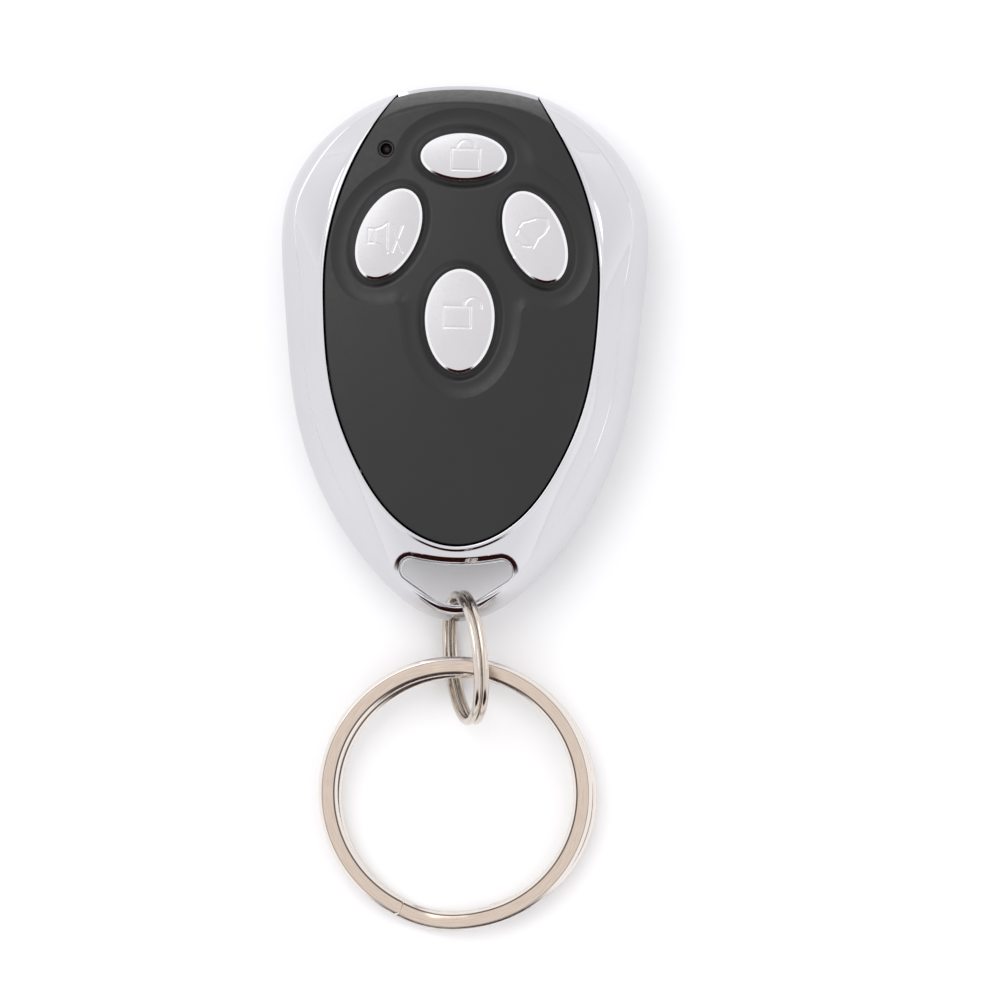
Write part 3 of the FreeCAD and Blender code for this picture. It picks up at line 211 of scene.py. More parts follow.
def smooth_step(low, high, x):
    t = np.clip((x - low) / (high - low), 0, 1)
    return t * t * (3 - 2 * t)


def edge_drop(distance, width):
    """Share of a rounded edge's depth: all of it at the edge, none past its width."""
    share = np.clip(distance / width, 0, 1)
    return 1 - np.sqrt(np.clip(1 - (1 - share) ** 2, 0, 1))


def polar(x, y):
    return np.arctan2(y - MIDDLE[1], x - MIDDLE[0]), np.hypot(x - MIDDLE[0], y - MIDDLE[1])


EDGE_POINTS = ring_points(EDGE)
CROWN_ACROSS = EDGE_POINTS[:, 0].max()
CROWN_ALONG = (EDGE_POINTS[:, 1].max() - EDGE_POINTS[:, 1].min()) / 2
CROWN_MIDDLE = (EDGE_POINTS[:, 1].max() + EDGE_POINTS[:, 1].min()) / 2


def crown(x, y):
    return CROWN - (CROWN - EDGE_HEIGHT) * ((x / CROWN_ACROSS) ** 2 + ((y - CROWN_MIDDLE) / CROWN_ALONG) ** 2)


def front(x, y):
    """Height of the front of the casing: flank, band and crown, with the creases slightly rounded."""
    turn, reach = polar(x, y)
    out, mid, inner = outline(turn), crease(turn), edge(turn)

    def sharp(reach):
        t = (out - reach) / (out - mid)
        inside = np.clip(t, 0, 1)
        first, second, third = FLANK_PROFILE
        flank = first * inside + second * inside**2 + third * inside**3 + first * np.minimum(t, 0)
        flank = PARTING + (CREASE_HEIGHT - PARTING) * flank
        t = (mid - reach) / (mid - inner)
        inside = np.clip(t, 0, 1)
        first, second = BAND_PROFILE
        band = first * inside + second * inside**2 + BAND_END_SLOPE * (t - inside)
        band = CREASE_HEIGHT + (EDGE_HEIGHT - CREASE_HEIGHT) * band
        return np.where(reach > mid, flank, band)

    body = (sharp(reach - CREASE_SOFTNESS) + 2 * sharp(reach) + sharp(reach + CREASE_SOFTNESS)) / 4
    bead = smooth_step(*BEAD_TAIL, y) * smooth_step(*BEAD_HEAD, y)
    body = body + BEAD_HEIGHT * bead * np.exp(-((reach - mid) / BEAD_WIDTH) ** 2)
    return smooth_min(body, crown(x, y), CROWN_BLEND)


# Ovals of the buttons

def to_oval(button, x, y):
    across, along, _, _, _, turn = BUTTONS[button]
    turn = math.radians(turn)
    dx, dy = x - across, y - along
    return dx * math.cos(turn) + dy * math.sin(turn), -dx * math.sin(turn) + dy * math.cos(turn)


def oval(button, grow, count=96):
    """Edge of a button, grown outwards."""
    across, along, half_width, upper, lower, turn = BUTTONS[button]
    t = full_turn(count)
    x = (half_width + grow) * np.cos(t)
    y = np.where(np.sin(t) > 0, upper + grow, lower + grow) * np.sin(t)
    turn = math.radians(turn)
    return np.stack([across + x * math.cos(turn) - y * math.sin(turn),
                     along + x * math.sin(turn) + y * math.cos(turn)], 1)


def oval_growth(button, x, y):
    """How far an oval has to grow to pass through a point."""
    _, _, half_width, upper, lower, _ = BUTTONS[button]
    u, v = to_oval(button, x, y)
    half_length = np.where(v > 0, upper, lower)
    low = np.full(u.shape, -min(half_width, upper, lower) + 0.01)
    high = np.full(u.shape, 60.0)
    for _ in range(30):
        probe = (low + high) / 2
        outside = (u / (half_width + probe)) ** 2 + (v / (half_length + probe)) ** 2 > 1
        low = np.where(outside, probe, low)
        high = np.where(outside, high, probe)
    return (low + high) / 2


def nearness(x, y):
    """Smallest distance to the buttons, in shares of their grown ovals, blended between them."""
    total = 0
    for button, (_, _, half_width, upper, lower, _) in BUTTONS.items():
        u, v = to_oval(button, x, y)
        length = np.where(v > 0, upper, lower) + MOAT_MARGIN
        total = total + np.exp(-MOAT_BLEND * np.hypot(u / (half_width + MOAT_MARGIN), v / length))
    return -np.log(np.maximum(total, 1e-300)) / MOAT_BLEND


def moat_distance(x, y):
    """Distance outside the sunk clover-shaped area."""
    value = nearness(x, y) - 1
    step = 0.02
    gx = (nearness(x + step, y) - nearness(x - step, y)) / (2 * step)
    gy = (nearness(x, y + step) - nearness(x, y - step)) / (2 * step)
    return value / np.maximum(np.hypot(gx, gy), 0.05)


def moat_curve(distance, count=260):
    """Line at a distance outside the sunk area, found by halving along each direction."""
    middle = np.array((0.0, 12.6))
    turn = full_turn(count)
    low = np.full(count, 4.0)
    high = np.full(count, 21.0)
    for _ in range(30):
        probe = (low + high) / 2
        out = moat_distance(middle[0] + probe * np.cos(turn), middle[1] + probe * np.sin(turn)) > distance
        high = np.where(out, probe, high)
        low = np.where(out, low, probe)
    return circle(middle, low, turn)


def panel_edge(turn):
    """Outer edge of the panel: its line beside the chrome, and the casing's end at the head."""
    return np.minimum(panel_line(turn) - PANEL_GAP, outline(turn) - PANEL_HEAD_GAP)


def from_lamp(x, y):
    return np.hypot(x - LAMP[0], y - LAMP[1])


def panel_height(x, y):
    turn, reach = polar(x, y)
    z = front(x, y) - PANEL_STEP
    run = np.clip((MOAT_START - moat_distance(x, y)) / MOAT_SLOPE, 0, 1)
    z = z - MOAT * (1 - (1 - run) ** 2)
    for button in BUTTONS:
        z = z - WELL * (1 - smooth_step(*WELL_SLOPE, oval_growth(button, x, y)))
    z = z - LAMP_DISH * (1 - smooth_step(*LAMP_SLOPE, from_lamp(x, y)))
    return z - PANEL_ROUNDING * edge_drop(panel_edge(turn) - reach, PANEL_ROUNDING)


# Eyelet

def eyelet_curve(grow=0.0, per=10):
    corner, point = EYELET_CORNER + grow, EYELET_POINT + grow
    top = EYELET_FOOT + EYELET_DEPTH
    side = np.array((EYELET_WIDTH / 2 - EYELET_CORNER, top - EYELET_CORNER))
    foot = np.array((0.0, EYELET_FOOT + EYELET_POINT))
    away = side - foot
    lean = math.atan2(away[1], away[0]) - math.pi / 2 + math.asin((point - corner) / np.hypot(*away))
    right = circle(side, corner, np.linspace(math.pi / 2, lean, 2 * per))
    low = circle(foot, point, np.linspace(lean, -math.pi - lean, 3 * per))
    line_right = right[-1] + np.linspace(0, 1, per + 2)[1:-1, None] * (low[0] - right[-1])
    left = right[::-1] * (-1, 1)
    line_left = low[-1] + np.linspace(0, 1, per + 2)[1:-1, None] * (left[0] - low[-1])
    # The wide side bows in towards the bar.
    half = side[0]
    x = np.linspace(-half, half, 4 * per)[1:-1]
    radius = (half**2 + EYELET_BOW**2) / (2 * EYELET_BOW) - grow
    centre = side[1] + corner - EYELET_BOW + radius
    bow = np.stack([x, centre - np.sqrt(radius**2 - x**2)], 1)
    return np.concatenate([right, line_right, low, line_left, left, bow])


EYELET = eyelet_curve(0, 24)


def distance_outside(curve, x, y):
    """Distance to a closed curve, negative inside it."""
    best = np.full(x.shape, 1e9)
    inside = np.zeros(x.shape, bool)
    for (ax, ay), (bx, by) in zip(curve, np.roll(curve, -1, 0)):
        dx, dy = bx - ax, by - ay
        t = np.clip(((x - ax) * dx + (y - ay) * dy) / max(dx * dx + dy * dy, 1e-12), 0, 1)
        best = np.minimum(best, (x - ax - t * dx) ** 2 + (y - ay - t * dy) ** 2)
        if dy != 0:
            crosses = (ay > y) != (by > y)
            inside ^= crosses & (x < ax + (y - ay) * dx / dy)
    return np.sqrt(best) * np.where(inside, -1, 1)


def eyelet_lip(x, y):
    """How far the surface is drawn down beside the eyelet: a slant, then a rounded edge."""
    distance = distance_outside(EYELET, x, y)
    slant = LIP * (1 - np.clip(distance / LIP, 0, 1))
    drop = LIP * LIP_DEPTH * edge_drop(distance, LIP_ROUNDING * LIP)
    head = smooth_step(-25.6, -24.4, y)
    head_slant = HEAD_SLANT - CORNER_SLANT_LOSS * smooth_step(3.0, 5.0, np.abs(x))
    bead = BAR_BEAD * np.exp(-((distance - 0.85) / 0.3) ** 2)
    return drop + head * head_slant * slant + (1 - head) * (BAR_SLANT * slant - bead)


def chrome_height(x, y):
    turn, reach = polar(x, y)
    beside = reach - panel_line(turn)
    z = front(x, y) - FRAME_ROUNDING * edge_drop(beside, FRAME_ROUNDING)
    z = z + FRAME_BEAD * (1 - smooth_step(*FRAME_BEAD_SLOPE, beside))
    return z - eyelet_lip(x, y)


# Rear shell, a height seen from below

REAR_EDGE = Polar(spline(ring_points(OUTLINE), True, 120))
REAR_FLAT = Polar(spline(shrink(ring_points(OUTLINE), REAR_ROUNDING), True, 120))
ROUND_SHARES, ROUND_HEIGHTS = spline(ROUNDING, False).T


def wedge(y):
    """Rise of the back towards the tail."""
    angle = math.radians(19)
    start, radius = -10.0, 20.0
    run = np.maximum(start - y, 0)
    bend = radius * math.sin(angle)
    arc = radius - np.sqrt(np.maximum(radius**2 - np.minimum(run, bend) ** 2, 0))
    return arc + np.maximum(run - bend, 0) * math.tan(angle)


def rear_height(x, y):
    turn, reach = polar(x, y)
    outer = REAR_EDGE(turn)
    share = (outer - reach) / np.maximum(outer - REAR_FLAT(turn), 1e-6)
    z = PARTING * np.interp(np.clip(share, 0, 1), ROUND_SHARES, ROUND_HEIGHTS)
    z = np.where(share >= 1, 0, z)
    return -smooth_min(-z, -wedge(y), REAR_BLEND)


# Meshes

def make_object(name, verts, faces, body, normals=None, materials=(), face_slots=None, uv=None):
    mesh = bpy.data.meshes.new(name)
    mesh.from_pydata([tuple(v) for v in np.asarray(verts) * MM], [], faces)
    mesh.validate()
    mesh.update()
    mesh.polygons.foreach_set("use_smooth", [True] * len(mesh.polygons))
    if uv is not None:
        corners = np.zeros(len(mesh.loops), int)
        mesh.loops.foreach_get("vertex_index", corners)
        mesh.uv_layers.new(name="wound").data.foreach_set("uv", np.asarray(uv)[corners].ravel())
    if normals is not None:
        mesh.normals_split_custom_set_from_vertices([tuple(n) for n in normals])
    for material in materials:
        mesh.materials.append(material)
    if face_slots is not None:
        mesh.polygons.foreach_set("material_index", face_slots)
    made = bpy.data.objects.new(name, mesh)
    bpy.context.scene.collection.objects.link(made)
    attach(made, body)
    return made


def closed_edges(start, count):
    return [(start + i, start + (i + 1) % count) for i in range(count)]


def field(curves, extra, height, keep, up=True):
    """A skin over part of the plane: corners, faces and normals. Curves become edges of the skin."""
    points = []
    edges = []
    for curve, closed in curves:
        start = len(points)
        points += [Vector(p) for p in curve]
        edges += closed_edges(start, len(curve)) if closed else [(start + i, start + i + 1)
                                                                for i in range(len(curve) - 1)]
    points += [Vector(p) for p in extra]
    verts, _, tris, _, _, _ = delaunay_2d_cdt(points, edges, [], 0, 1e-4)
    xy = np.array([(v.x, v.y) for v in verts])
    tris = np.array([t for t in tris if len(t) == 3])
    centre = xy[tris].mean(1)
    tris = tris[keep(centre[:, 0], centre[:, 1])]
    used = np.unique(tris)
    back = np.full(len(xy), -1)
    back[used] = np.arange(len(used))
    xy = xy[used]
    tris = back[tris]
    a, b, c = xy[tris[:, 0]], xy[tris[:, 1]], xy[tris[:, 2]]
    area = (b[:, 0] - a[:, 0]) * (c[:, 1] - a[:, 1]) - (b[:, 1] - a[:, 1]) * (c[:, 0] - a[:, 0])
    tris = tris[np.abs(area) > 1e-9]
    flip = area[np.abs(area) > 1e-9] < 0
    tris[flip] = tris[flip][:, ::-1]
    if not up:
        tris = tris[:, ::-1]
    x, y = xy[:, 0], xy[:, 1]
    z = height(x, y)
    step = 0.015
    gx = (height(x + step, y) - height(x - step, y)) / (2 * step)
    gy = (height(x, y + step) - height(x, y - step)) / (2 * step)
    normals = np.stack([-gx, -gy, np.ones(len(x))], 1)
    if not up:
        normals = -normals
    normals /= np.linalg.norm(normals, axis=1)[:, None]
    return np.column_stack([xy, z]), [tuple(int(i) for i in t) for t in tris], normals


def strip(low, high, inward=False):
    """A wall between two closed rows of corners of equal count, with normals worked out square to it."""
    low, high = np.asarray(low), np.asarray(high)
    n = len(low)
    verts = np.concatenate([low, high])
    faces = [(i, (i + 1) % n, n + (i + 1) % n, n + i) for i in range(n)]
    along = np.roll(low, -1, 0) - np.roll(low, 1, 0)
    rise = high - low
    normal = np.cross(along, rise)
    normal /= np.maximum(np.linalg.norm(normal, axis=1)[:, None], 1e-9)
    if inward:
        faces = [f[::-1] for f in faces]
        normal = -normal
    return verts, faces, np.concatenate([normal, normal])


def join(parts):
    verts, faces, normals, slots = [], [], [], []
    count = 0
    for v, f, n, s in parts:
        verts.append(v)
        normals.append(n)
        faces += [tuple(i + count for i in face) for face in f]
        slots += [s] * len(f)
        count += len(v)
    return np.concatenate(verts), faces, np.concatenate(normals), slots


def around(reach, count=420):
    turn = np.linspace(-math.pi, math.pi, count, endpoint=False)
    return circle(MIDDLE, reach(turn), turn)


def offset_ring(ring, offset):
    return lambda turn: ring(turn) + offset


def share_ring(first, second, share):
    return lambda turn: first(turn) * (1 - share) + second(turn) * share


def grid(step, keep):
    """Corners in staggered rows over the casing."""
    x, y = np.meshgrid(np.arange(-20, 20.01, step), np.arange(-29, 30, step))
    x = x + (np.arange(len(x)) % 2)[:, None] * step / 2
    x, y = x.ravel(), y.ravel()
    good = keep(x, y)
    return np.stack([x[good], y[good]], 1)


def with_height(curve, z):
    return np.column_stack([curve, np.full(len(curve), z) if np.isscalar(z) else z])


def wall(curve, low, high, inward=False):
    """A strip between two heights of the same curve."""
    return strip(with_height(curve, low), with_height(curve, high), inward)


# Materials

def new_material(name):
    material = bpy.data.materials.new(name)
    material.use_nodes = True
    nodes = material.node_tree.nodes
    return material, nodes, material.node_tree.links, nodes["Principled BSDF"]


def coordinates(nodes, links, scale):
    where = nodes.new("ShaderNodeTexCoord")
    mapping = nodes.new("ShaderNodeMapping")
    mapping.inputs["Scale"].default_value = scale
    links.new(where.outputs["Object"], mapping.inputs["Vector"])
    return mapping.outputs["Vector"]


def noise(nodes, links, vector, scale, detail=3.0):
    made = nodes.new("ShaderNodeTexNoise")
    made.inputs["Scale"].default_value = scale
    made.inputs["Detail"].default_value = detail
    links.new(vector, made.inputs["Vector"])
    return made.outputs["Fac"]


def spread(nodes, links, value, low, high):
    made = nodes.new("ShaderNodeMapRange")
    made.inputs["From Min"].default_value = 0.3
    made.inputs["From Max"].default_value = 0.7
    made.inputs["To Min"].default_value = low
    made.inputs["To Max"].default_value = high
    links.new(value, made.inputs["Value"])
    return made.outputs["Result"]


def tint(nodes, links, value, first, second):
    made = nodes.new("ShaderNodeValToRGB")
    made.color_ramp.elements[0].position = 0.35
    made.color_ramp.elements[1].position = 0.65
    made.color_ramp.elements[0].color = (*first, 1)
    made.color_ramp.elements[1].color = (*second, 1)
    links.new(value, made.inputs["Fac"])
    return made.outputs["Color"]


def level_ramp(nodes, links, value, stops, interpolation="LINEAR", cast=(1, 1, 1)):
    """Grey levels by place, times a cast."""
    made = nodes.new("ShaderNodeValToRGB")
    made.color_ramp.interpolation = interpolation
    while len(made.color_ramp.elements) < len(stops):
        made.color_ramp.elements.new(0.5)
    for element, (place, level) in zip(made.color_ramp.elements, stops):
        element.position = place
        element.color = (*(level * part for part in cast), 1)
    links.new(value, made.inputs["Fac"])
    return made.outputs["Color"]


def mixed(nodes, links, share, under, over):
    made = nodes.new("ShaderNodeMix")
    made.data_type = "RGBA"
    links.new(share, made.inputs["Factor"])
    links.new(under, made.inputs["A"])
    made.inputs["B"].default_value = over
    return made.outputs["Result"]


def bump(nodes, links, shader, value, strength, distance):
    made = nodes.new("ShaderNodeBump")
    made.inputs["Strength"].default_value = strength
    made.inputs["Distance"].default_value = distance
    links.new(value, made.inputs["Height"])
    links.new(made.outputs["Normal"], shader.inputs["Normal"])


def surface(name, colours, metallic, rough, grain=900.0, cloud=90.0, relief=0.0, relief_scale=2500.0,
            stretch=(1, 1, 1)):
    """A material whose colour drifts a little and whose gloss varies finely; it may have a fine relief."""
    material, nodes, links, shader = new_material(name)
    vector = coordinates(nodes, links, stretch)
    links.new(tint(nodes, links, noise(nodes, links, vector, cloud), *colours), shader.inputs["Base Color"])
    links.new(spread(nodes, links, noise(nodes, links, vector, grain), *rough), shader.inputs["Roughness"])
    shader.inputs["Metallic"].default_value = metallic
    if relief:
        bump(nodes, links, shader, noise(nodes, links, vector, relief_scale, 2.0), relief, 0.00002)
    return material


CHROME = surface("chrome_plating", ((0.60, 0.597, 0.617), (0.63, 0.627, 0.645)), 1.0, (0.05, 0.09), 400, 60)
BLACK = surface("black_satin", ((0.002, 0.002, 0.0021), (0.004, 0.004, 0.0041)), 0.0, (0.34, 0.44), 1500, 120,
                0.25, 4500)
SATIN = surface("silver_satin", ((0.595, 0.588, 0.595), (0.61, 0.603, 0.61)), 1.0, (0.27, 0.31), 3500, 300)
RIM = surface("silver_bright", ((0.76, 0.76, 0.77), (0.8, 0.8, 0.81)), 1.0, (0.04, 0.08), 900, 90)


def painted_bevel_highlight_and_shade_lines(nodes, links, where, colour, flat):
    """Painted highlight: the section lighter away from its flat face, on the bevels beside it; painted shade:
    a dark line where the flat face ends.
    """
    low, high = flat
    span = high - low
    split = nodes.new("ShaderNodeSeparateXYZ")
    links.new(where, split.inputs["Vector"])
    reach = nodes.new("ShaderNodeMapRange")
    reach.inputs["From Min"].default_value = low - span
    reach.inputs["From Max"].default_value = high + span
    links.new(split.outputs["Y"], reach.inputs["Value"])
    # The flat face takes the middle third of the ramps.
    start, end = 1 / 3, 2 / 3
    thin = SHADE_LINE_WIDTH / span / 3
    # Lighter beside the flat face: painted highlight.
    edges = ((0.0, 1), (start, 0), (end, 1))
    # Dark lines at the flat face's ends: painted shade.
    shade_line_stops = ((0.0, 0), (start - 2 * thin, 0), (start - thin / 2, 0.7), (start + thin / 2, 0.7),
             (start + 2 * thin, 0), (end - 4 * thin, 0), (end - 2 * thin, 1), (end + 2 * thin, 1),
             (end + 4 * thin, 0))
    light = level_ramp(nodes, links, reach.outputs["Result"], edges, "CONSTANT")
    dark = level_ramp(nodes, links, reach.outputs["Result"], shade_line_stops)
    colour = mixed(nodes, links, light, colour, (0.76, 0.71, 0.66, 1))
    return mixed(nodes, links, dark, colour, (0.10, 0.08, 0.07, 1))


def drawn_wire(name, dark, light, along, across, flat=None):
    """Plated wire with fine scratches along it; flat tells where the section's flat face begins and ends, for
    a painted highlight beside it and painted shade lines at its ends.
    """
    material, nodes, links, shader = new_material(name)
    where = nodes.new("ShaderNodeUVMap").outputs["UV"]
    mapping = nodes.new("ShaderNodeMapping")
    mapping.inputs["Scale"].default_value = (along, across, 1)
    links.new(where, mapping.inputs["Vector"])
    vector = mapping.outputs["Vector"]
    scratches = noise(nodes, links, vector, 1.0, 5.0)
    colour = tint(nodes, links, scratches, dark, light)
    # Painted highlight beside the flat face and painted shade lines at its ends.
    if flat:
        colour = painted_bevel_highlight_and_shade_lines(nodes, links, where, colour, flat)
    links.new(colour, shader.inputs["Base Color"])
    gloss = spread(nodes, links, noise(nodes, links, vector, 1.7, 2.0), 0.08, 0.2)
    links.new(gloss, shader.inputs["Roughness"])
    shader.inputs["Metallic"].default_value = 1.0
    bump(nodes, links, shader, scratches, 0.15, 0.00002)
    return material


def rounded(radius, count=7):
    """A rounded corner of a wire's section: how far in and how far down, from its side to its top."""
    a = np.radians(np.linspace(0, 90, count))
    return [(radius * (1 - math.cos(t)), radius * (1 - math.sin(t))) for t in a]


# Corner of the key ring's section, the width of its wire, and the width of the painted shade line where its
# flat face ends, in metres
BEVEL = [(0.0, 0.32), (0.02, 0.27), (0.07, 0.22), (0.28, 0.05), (0.33, 0.015), (0.38, 0.0)]
BEVEL_RUN = sum(math.dist(a, b) for a, b in zip(BEVEL, BEVEL[1:]))
BAND_WIDTH = 2.05
SHADE_LINE_WIDTH = 0.00003
# The band's section gets a painted highlight beside its flat face and painted shade lines at its ends.
BAND = drawn_wire("nickel_band", (0.57, 0.475, 0.395), (0.68, 0.575, 0.485), 500, 14000,
                  (BEVEL_RUN * MM, (BEVEL_RUN + BAND_WIDTH - 2 * BEVEL[-1][0]) * MM))
WIRE = drawn_wire("nickel_wire", (0.55, 0.49, 0.43), (0.68, 0.62, 0.56), 200, 5000)


# Chrome frame

RING_STEPS = 560


def outside_panel(reach, gap=0.0):
    """Runs of a ring that lie outside the panel's line."""
    turn = np.linspace(-math.pi / 2, 3 * math.pi / 2, RING_STEPS + 1)
    r = reach(turn)
    runs = []
    row = []
    for t, distance, outside in zip(turn, r, r > panel_line(turn) + gap):
        if outside:
            row.append((MIDDLE[0] + distance * math.cos(t), MIDDLE[1] + distance * math.sin(t)))
        elif row:
            runs.append((np.array(row), False))
            row = []
    if row:
        runs.append((np.array(row), False))
    return [run for run in runs if len(run[0]) > 1]


def chrome_keep(x, y):
    turn, reach = polar(x, y)
    return (reach < outline(turn)) & (reach > panel_line(turn)) & (distance_outside(EYELET, x, y) > 0)


def wall_beside_panel():
    line = panel_curve()
    turn, reach = polar(line[:, 0], line[:, 1])
    line = line[reach <= outline(turn)]
    z = chrome_height(line[:, 0] * 1.0002, line[:, 1])
    n = len(line)
    verts = np.concatenate([with_height(line, np.maximum(z - WALL, PARTING)), with_height(line, z)])
    faces = [(i + 1, i, n + i, n + i + 1) for i in range(n - 1)]
    along_line = np.gradient(line, axis=0)
    normal = np.stack([-along_line[:, 1], along_line[:, 0], np.zeros(n)], 1)
    inner = np.column_stack([MIDDLE - line, np.zeros(n)])
    normal *= np.sign((normal * inner).sum(1))[:, None]
    normal /= np.linalg.norm(normal, axis=1)[:, None]
    return verts, faces, np.concatenate([normal, normal])


def make_chrome():
    curves = [(around(outline, RING_STEPS), True), (panel_curve(), False)]
    clear = 0.7
    for share in (0.06, 0.13, 0.2, 0.32, 0.44, 0.55, 0.67, 0.79, 1.0):
        curves += outside_panel(share_ring(outline, crease, share), clear)
    for offset in (-0.3, -0.22, -0.15, -0.09, -0.04, 0.04, 0.09, 0.15, 0.22, 0.3):
        curves += outside_panel(offset_ring(crease, offset), clear)
    for share in (0.15, 0.25, 0.37, 0.5, 0.62, 0.74, 0.86):
        curves += outside_panel(share_ring(crease, edge, share), clear)
    for offset in (0.015, 0.04, 0.08, 0.13, 0.19, 0.29, 0.37, 0.46, 0.55, 0.64):
        curves.append((around(offset_ring(panel_line, offset), RING_STEPS), True))
    for grow in (0.0, 0.03, 0.08, 0.15, 0.24, 0.34, 0.45, 0.57, 0.7, 0.82, 0.95, 1.1, 1.3, 1.5):
        curves.append((eyelet_curve(grow, 14), True))
    extra = grid(0.7, lambda x, y: chrome_keep(x, y) & (distance_outside(EYELET, x, y) > 1.7))
    hole = eyelet_curve(0, 14)
    parts = [(*field(curves, extra, chrome_height, chrome_keep), 0), (*wall_beside_panel(), 0),
             (*wall(hole, PARTING, front(hole[:, 0], hole[:, 1]) - LIP, True), 0)]
    verts, faces, normals, slots = join(parts)
    made = make_object("bright_frame", verts, faces, "casing", normals, [CHROME], slots)
    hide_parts("chrome_frame")
    return made


def panel_keep(x, y):
    turn, reach = polar(x, y)
    good = reach < panel_edge(turn)
    for button in BUTTONS:
        good &= oval_growth(button, x, y) > CAP_GAP
    return good & (from_lamp(x, y) > LAMP_HOLE)


def panel_room(x, y):
    """Where the panel has no curves of its own, so that a plain grid fills it."""
    turn, reach = polar(x, y)
    good = (reach < panel_edge(turn) - 2.9) & (np.abs(moat_distance(x, y) + 0.45) > 0.85)
    for button in BUTTONS:
        good &= oval_growth(button, x, y) > 1.3
    return good & (from_lamp(x, y) > 1.3)


def make_panel():
    rim = around(panel_edge, RING_STEPS)
    curves = [(rim, True)]
    for offset in (0.03, 0.07, 0.12, 0.2, 0.32, 0.47, 0.65, 0.85, 1.1, 1.4, 1.75, 2.15, 2.6):
        curves.append((around(offset_ring(panel_edge, -offset)), True))
    for distance in (-1.1, -0.8, -0.5, -0.25, -0.05, 0.04, 0.1, 0.14, 0.2):
        curves.append((moat_curve(distance), True))
    for button in BUTTONS:
        for grow in (CAP_GAP, 0.3, 0.4, 0.52, 0.65, 0.8, 0.95, 1.1):
            curves.append((oval(button, grow, 84), True))
    for radius in (LAMP_HOLE, 0.7, 0.78, 0.86, 0.94, 1.02):
        curves.append((circle(LAMP, radius, full_turn(40)), True))
    parts = [(*field(curves, grid(0.75, panel_room), panel_height, panel_keep), 0)]
    # The panel's skirt is short beside the chrome and reaches the rear shell at the head.
    z = panel_height(rim[:, 0] * 0.99999, rim[:, 1])
    turn, reach = polar(rim[:, 0], rim[:, 1])
    lowest = PARTING - 0.02
    foot = np.where(reach < panel_line(turn) - 0.14, lowest, z - WALL)
    parts.append((*wall(rim, np.maximum(foot, lowest), z), 0))
    for hole in [oval(button, CAP_GAP, 84) for button in BUTTONS] + [circle(LAMP, LAMP_HOLE, full_turn(40))]:
        z = panel_height(hole[:, 0], hole[:, 1])
        parts.append((*wall(hole, z - WALL, z, True), 0))
    verts, faces, normals, slots = join(parts)
    made = make_object("dark_panel", verts, faces, "casing", normals, [BLACK], slots)
    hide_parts("front_panel")
    return made


def clear_of_screws(x, y, radius):
    good = np.ones(x.shape, bool)
    for across, along in SCREWS:
        good &= np.hypot(x - across, y - along) > radius
    return good


def rear_keep(x, y):
    turn, reach = polar(x, y)
    return ((reach < outline(turn)) & (distance_outside(EYELET, x, y) > -EYELET_STEP)
            & clear_of_screws(x, y, SCREW_BORE))


def rear_room(x, y):
    turn, reach = polar(x, y)
    return ((reach < outline(turn) - 5) & (distance_outside(EYELET, x, y) > 1.0)
            & clear_of_screws(x, y, 2.5))


def rear_surface(x, y):
    z = rear_height(x, y) + LIP * edge_drop(distance_outside(EYELET, x, y) + EYELET_STEP, LIP)
    for across, along in SCREWS:
        beside = np.hypot(x - across, y - along)
        z = z + BORE_DISH * (1 - smooth_step(SCREW_BORE, SCREW_BORE + BORE_EDGE, beside))
    return z


def make_rear():
    rim = around(outline, RING_STEPS)
    curves = [(rim, True)]
    for share in (0.01, 0.03, 0.075, 0.14, 0.2, 0.29, 0.4, 0.5, 0.6, 0.7, 0.8, 0.88, 0.95, 1.0, 1.1, 1.3):
        curves.append((around(share_ring(outline, REAR_FLAT, share), 360), True))
    for grow in (-EYELET_STEP, -0.05, 0.02, 0.1, 0.2, 0.32, 0.45, 0.6, 0.8):
        curves.append((eyelet_curve(grow, 12), True))
    for screw in SCREWS:
        for radius in (SCREW_BORE, 1.96, 2.04, 2.12, 2.2):
            curves.append((circle(screw, radius, full_turn(40)), True))
    parts = [(*field(curves, grid(0.9, rear_room), rear_surface, rear_keep, False), 0)]
    hole = eyelet_curve(-EYELET_STEP, 12)
    parts.append((*wall(hole, rear_surface(hole[:, 0], hole[:, 1]), PARTING, True), 0))
    for screw in SCREWS:
        parts.append((*wall(circle(screw, SCREW_BORE, full_turn(40)), BORE_DISH, BORE_DEPTH, True), 0))
    # Step inside the eyelet, where the rear shell shows under the frame
    outer = eyelet_curve(0.3, 12)
    n = len(hole)
    verts = np.concatenate([with_height(hole, PARTING), with_height(outer, PARTING)])
    faces = [(i, (i + 1) % n, n + (i + 1) % n, n + i) for i in range(n)]
    parts.append((verts, faces, np.tile((0.0, 0.0, 1.0), (2 * n, 1)), 0))
    # Rim that shows round the head end of the panel
    inset = around(offset_ring(outline, -0.8), RING_STEPS)
    parts.append((*strip(with_height(rim, PARTING), with_height(inset, PARTING + 0.35)), 0))
    verts, faces, normals, slots = join(parts)
    made = make_object("rear_half", verts, faces, "casing", normals, [CHROME], slots)
    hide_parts("rear_shell")
    return made


# Buttons

def arc_points(middle, radius, start, end, count=12):
    t = np.radians(np.linspace(start, end, count))
    return [(middle[0] + radius * math.cos(a), middle[1] + radius * math.sin(a)) for a in t]


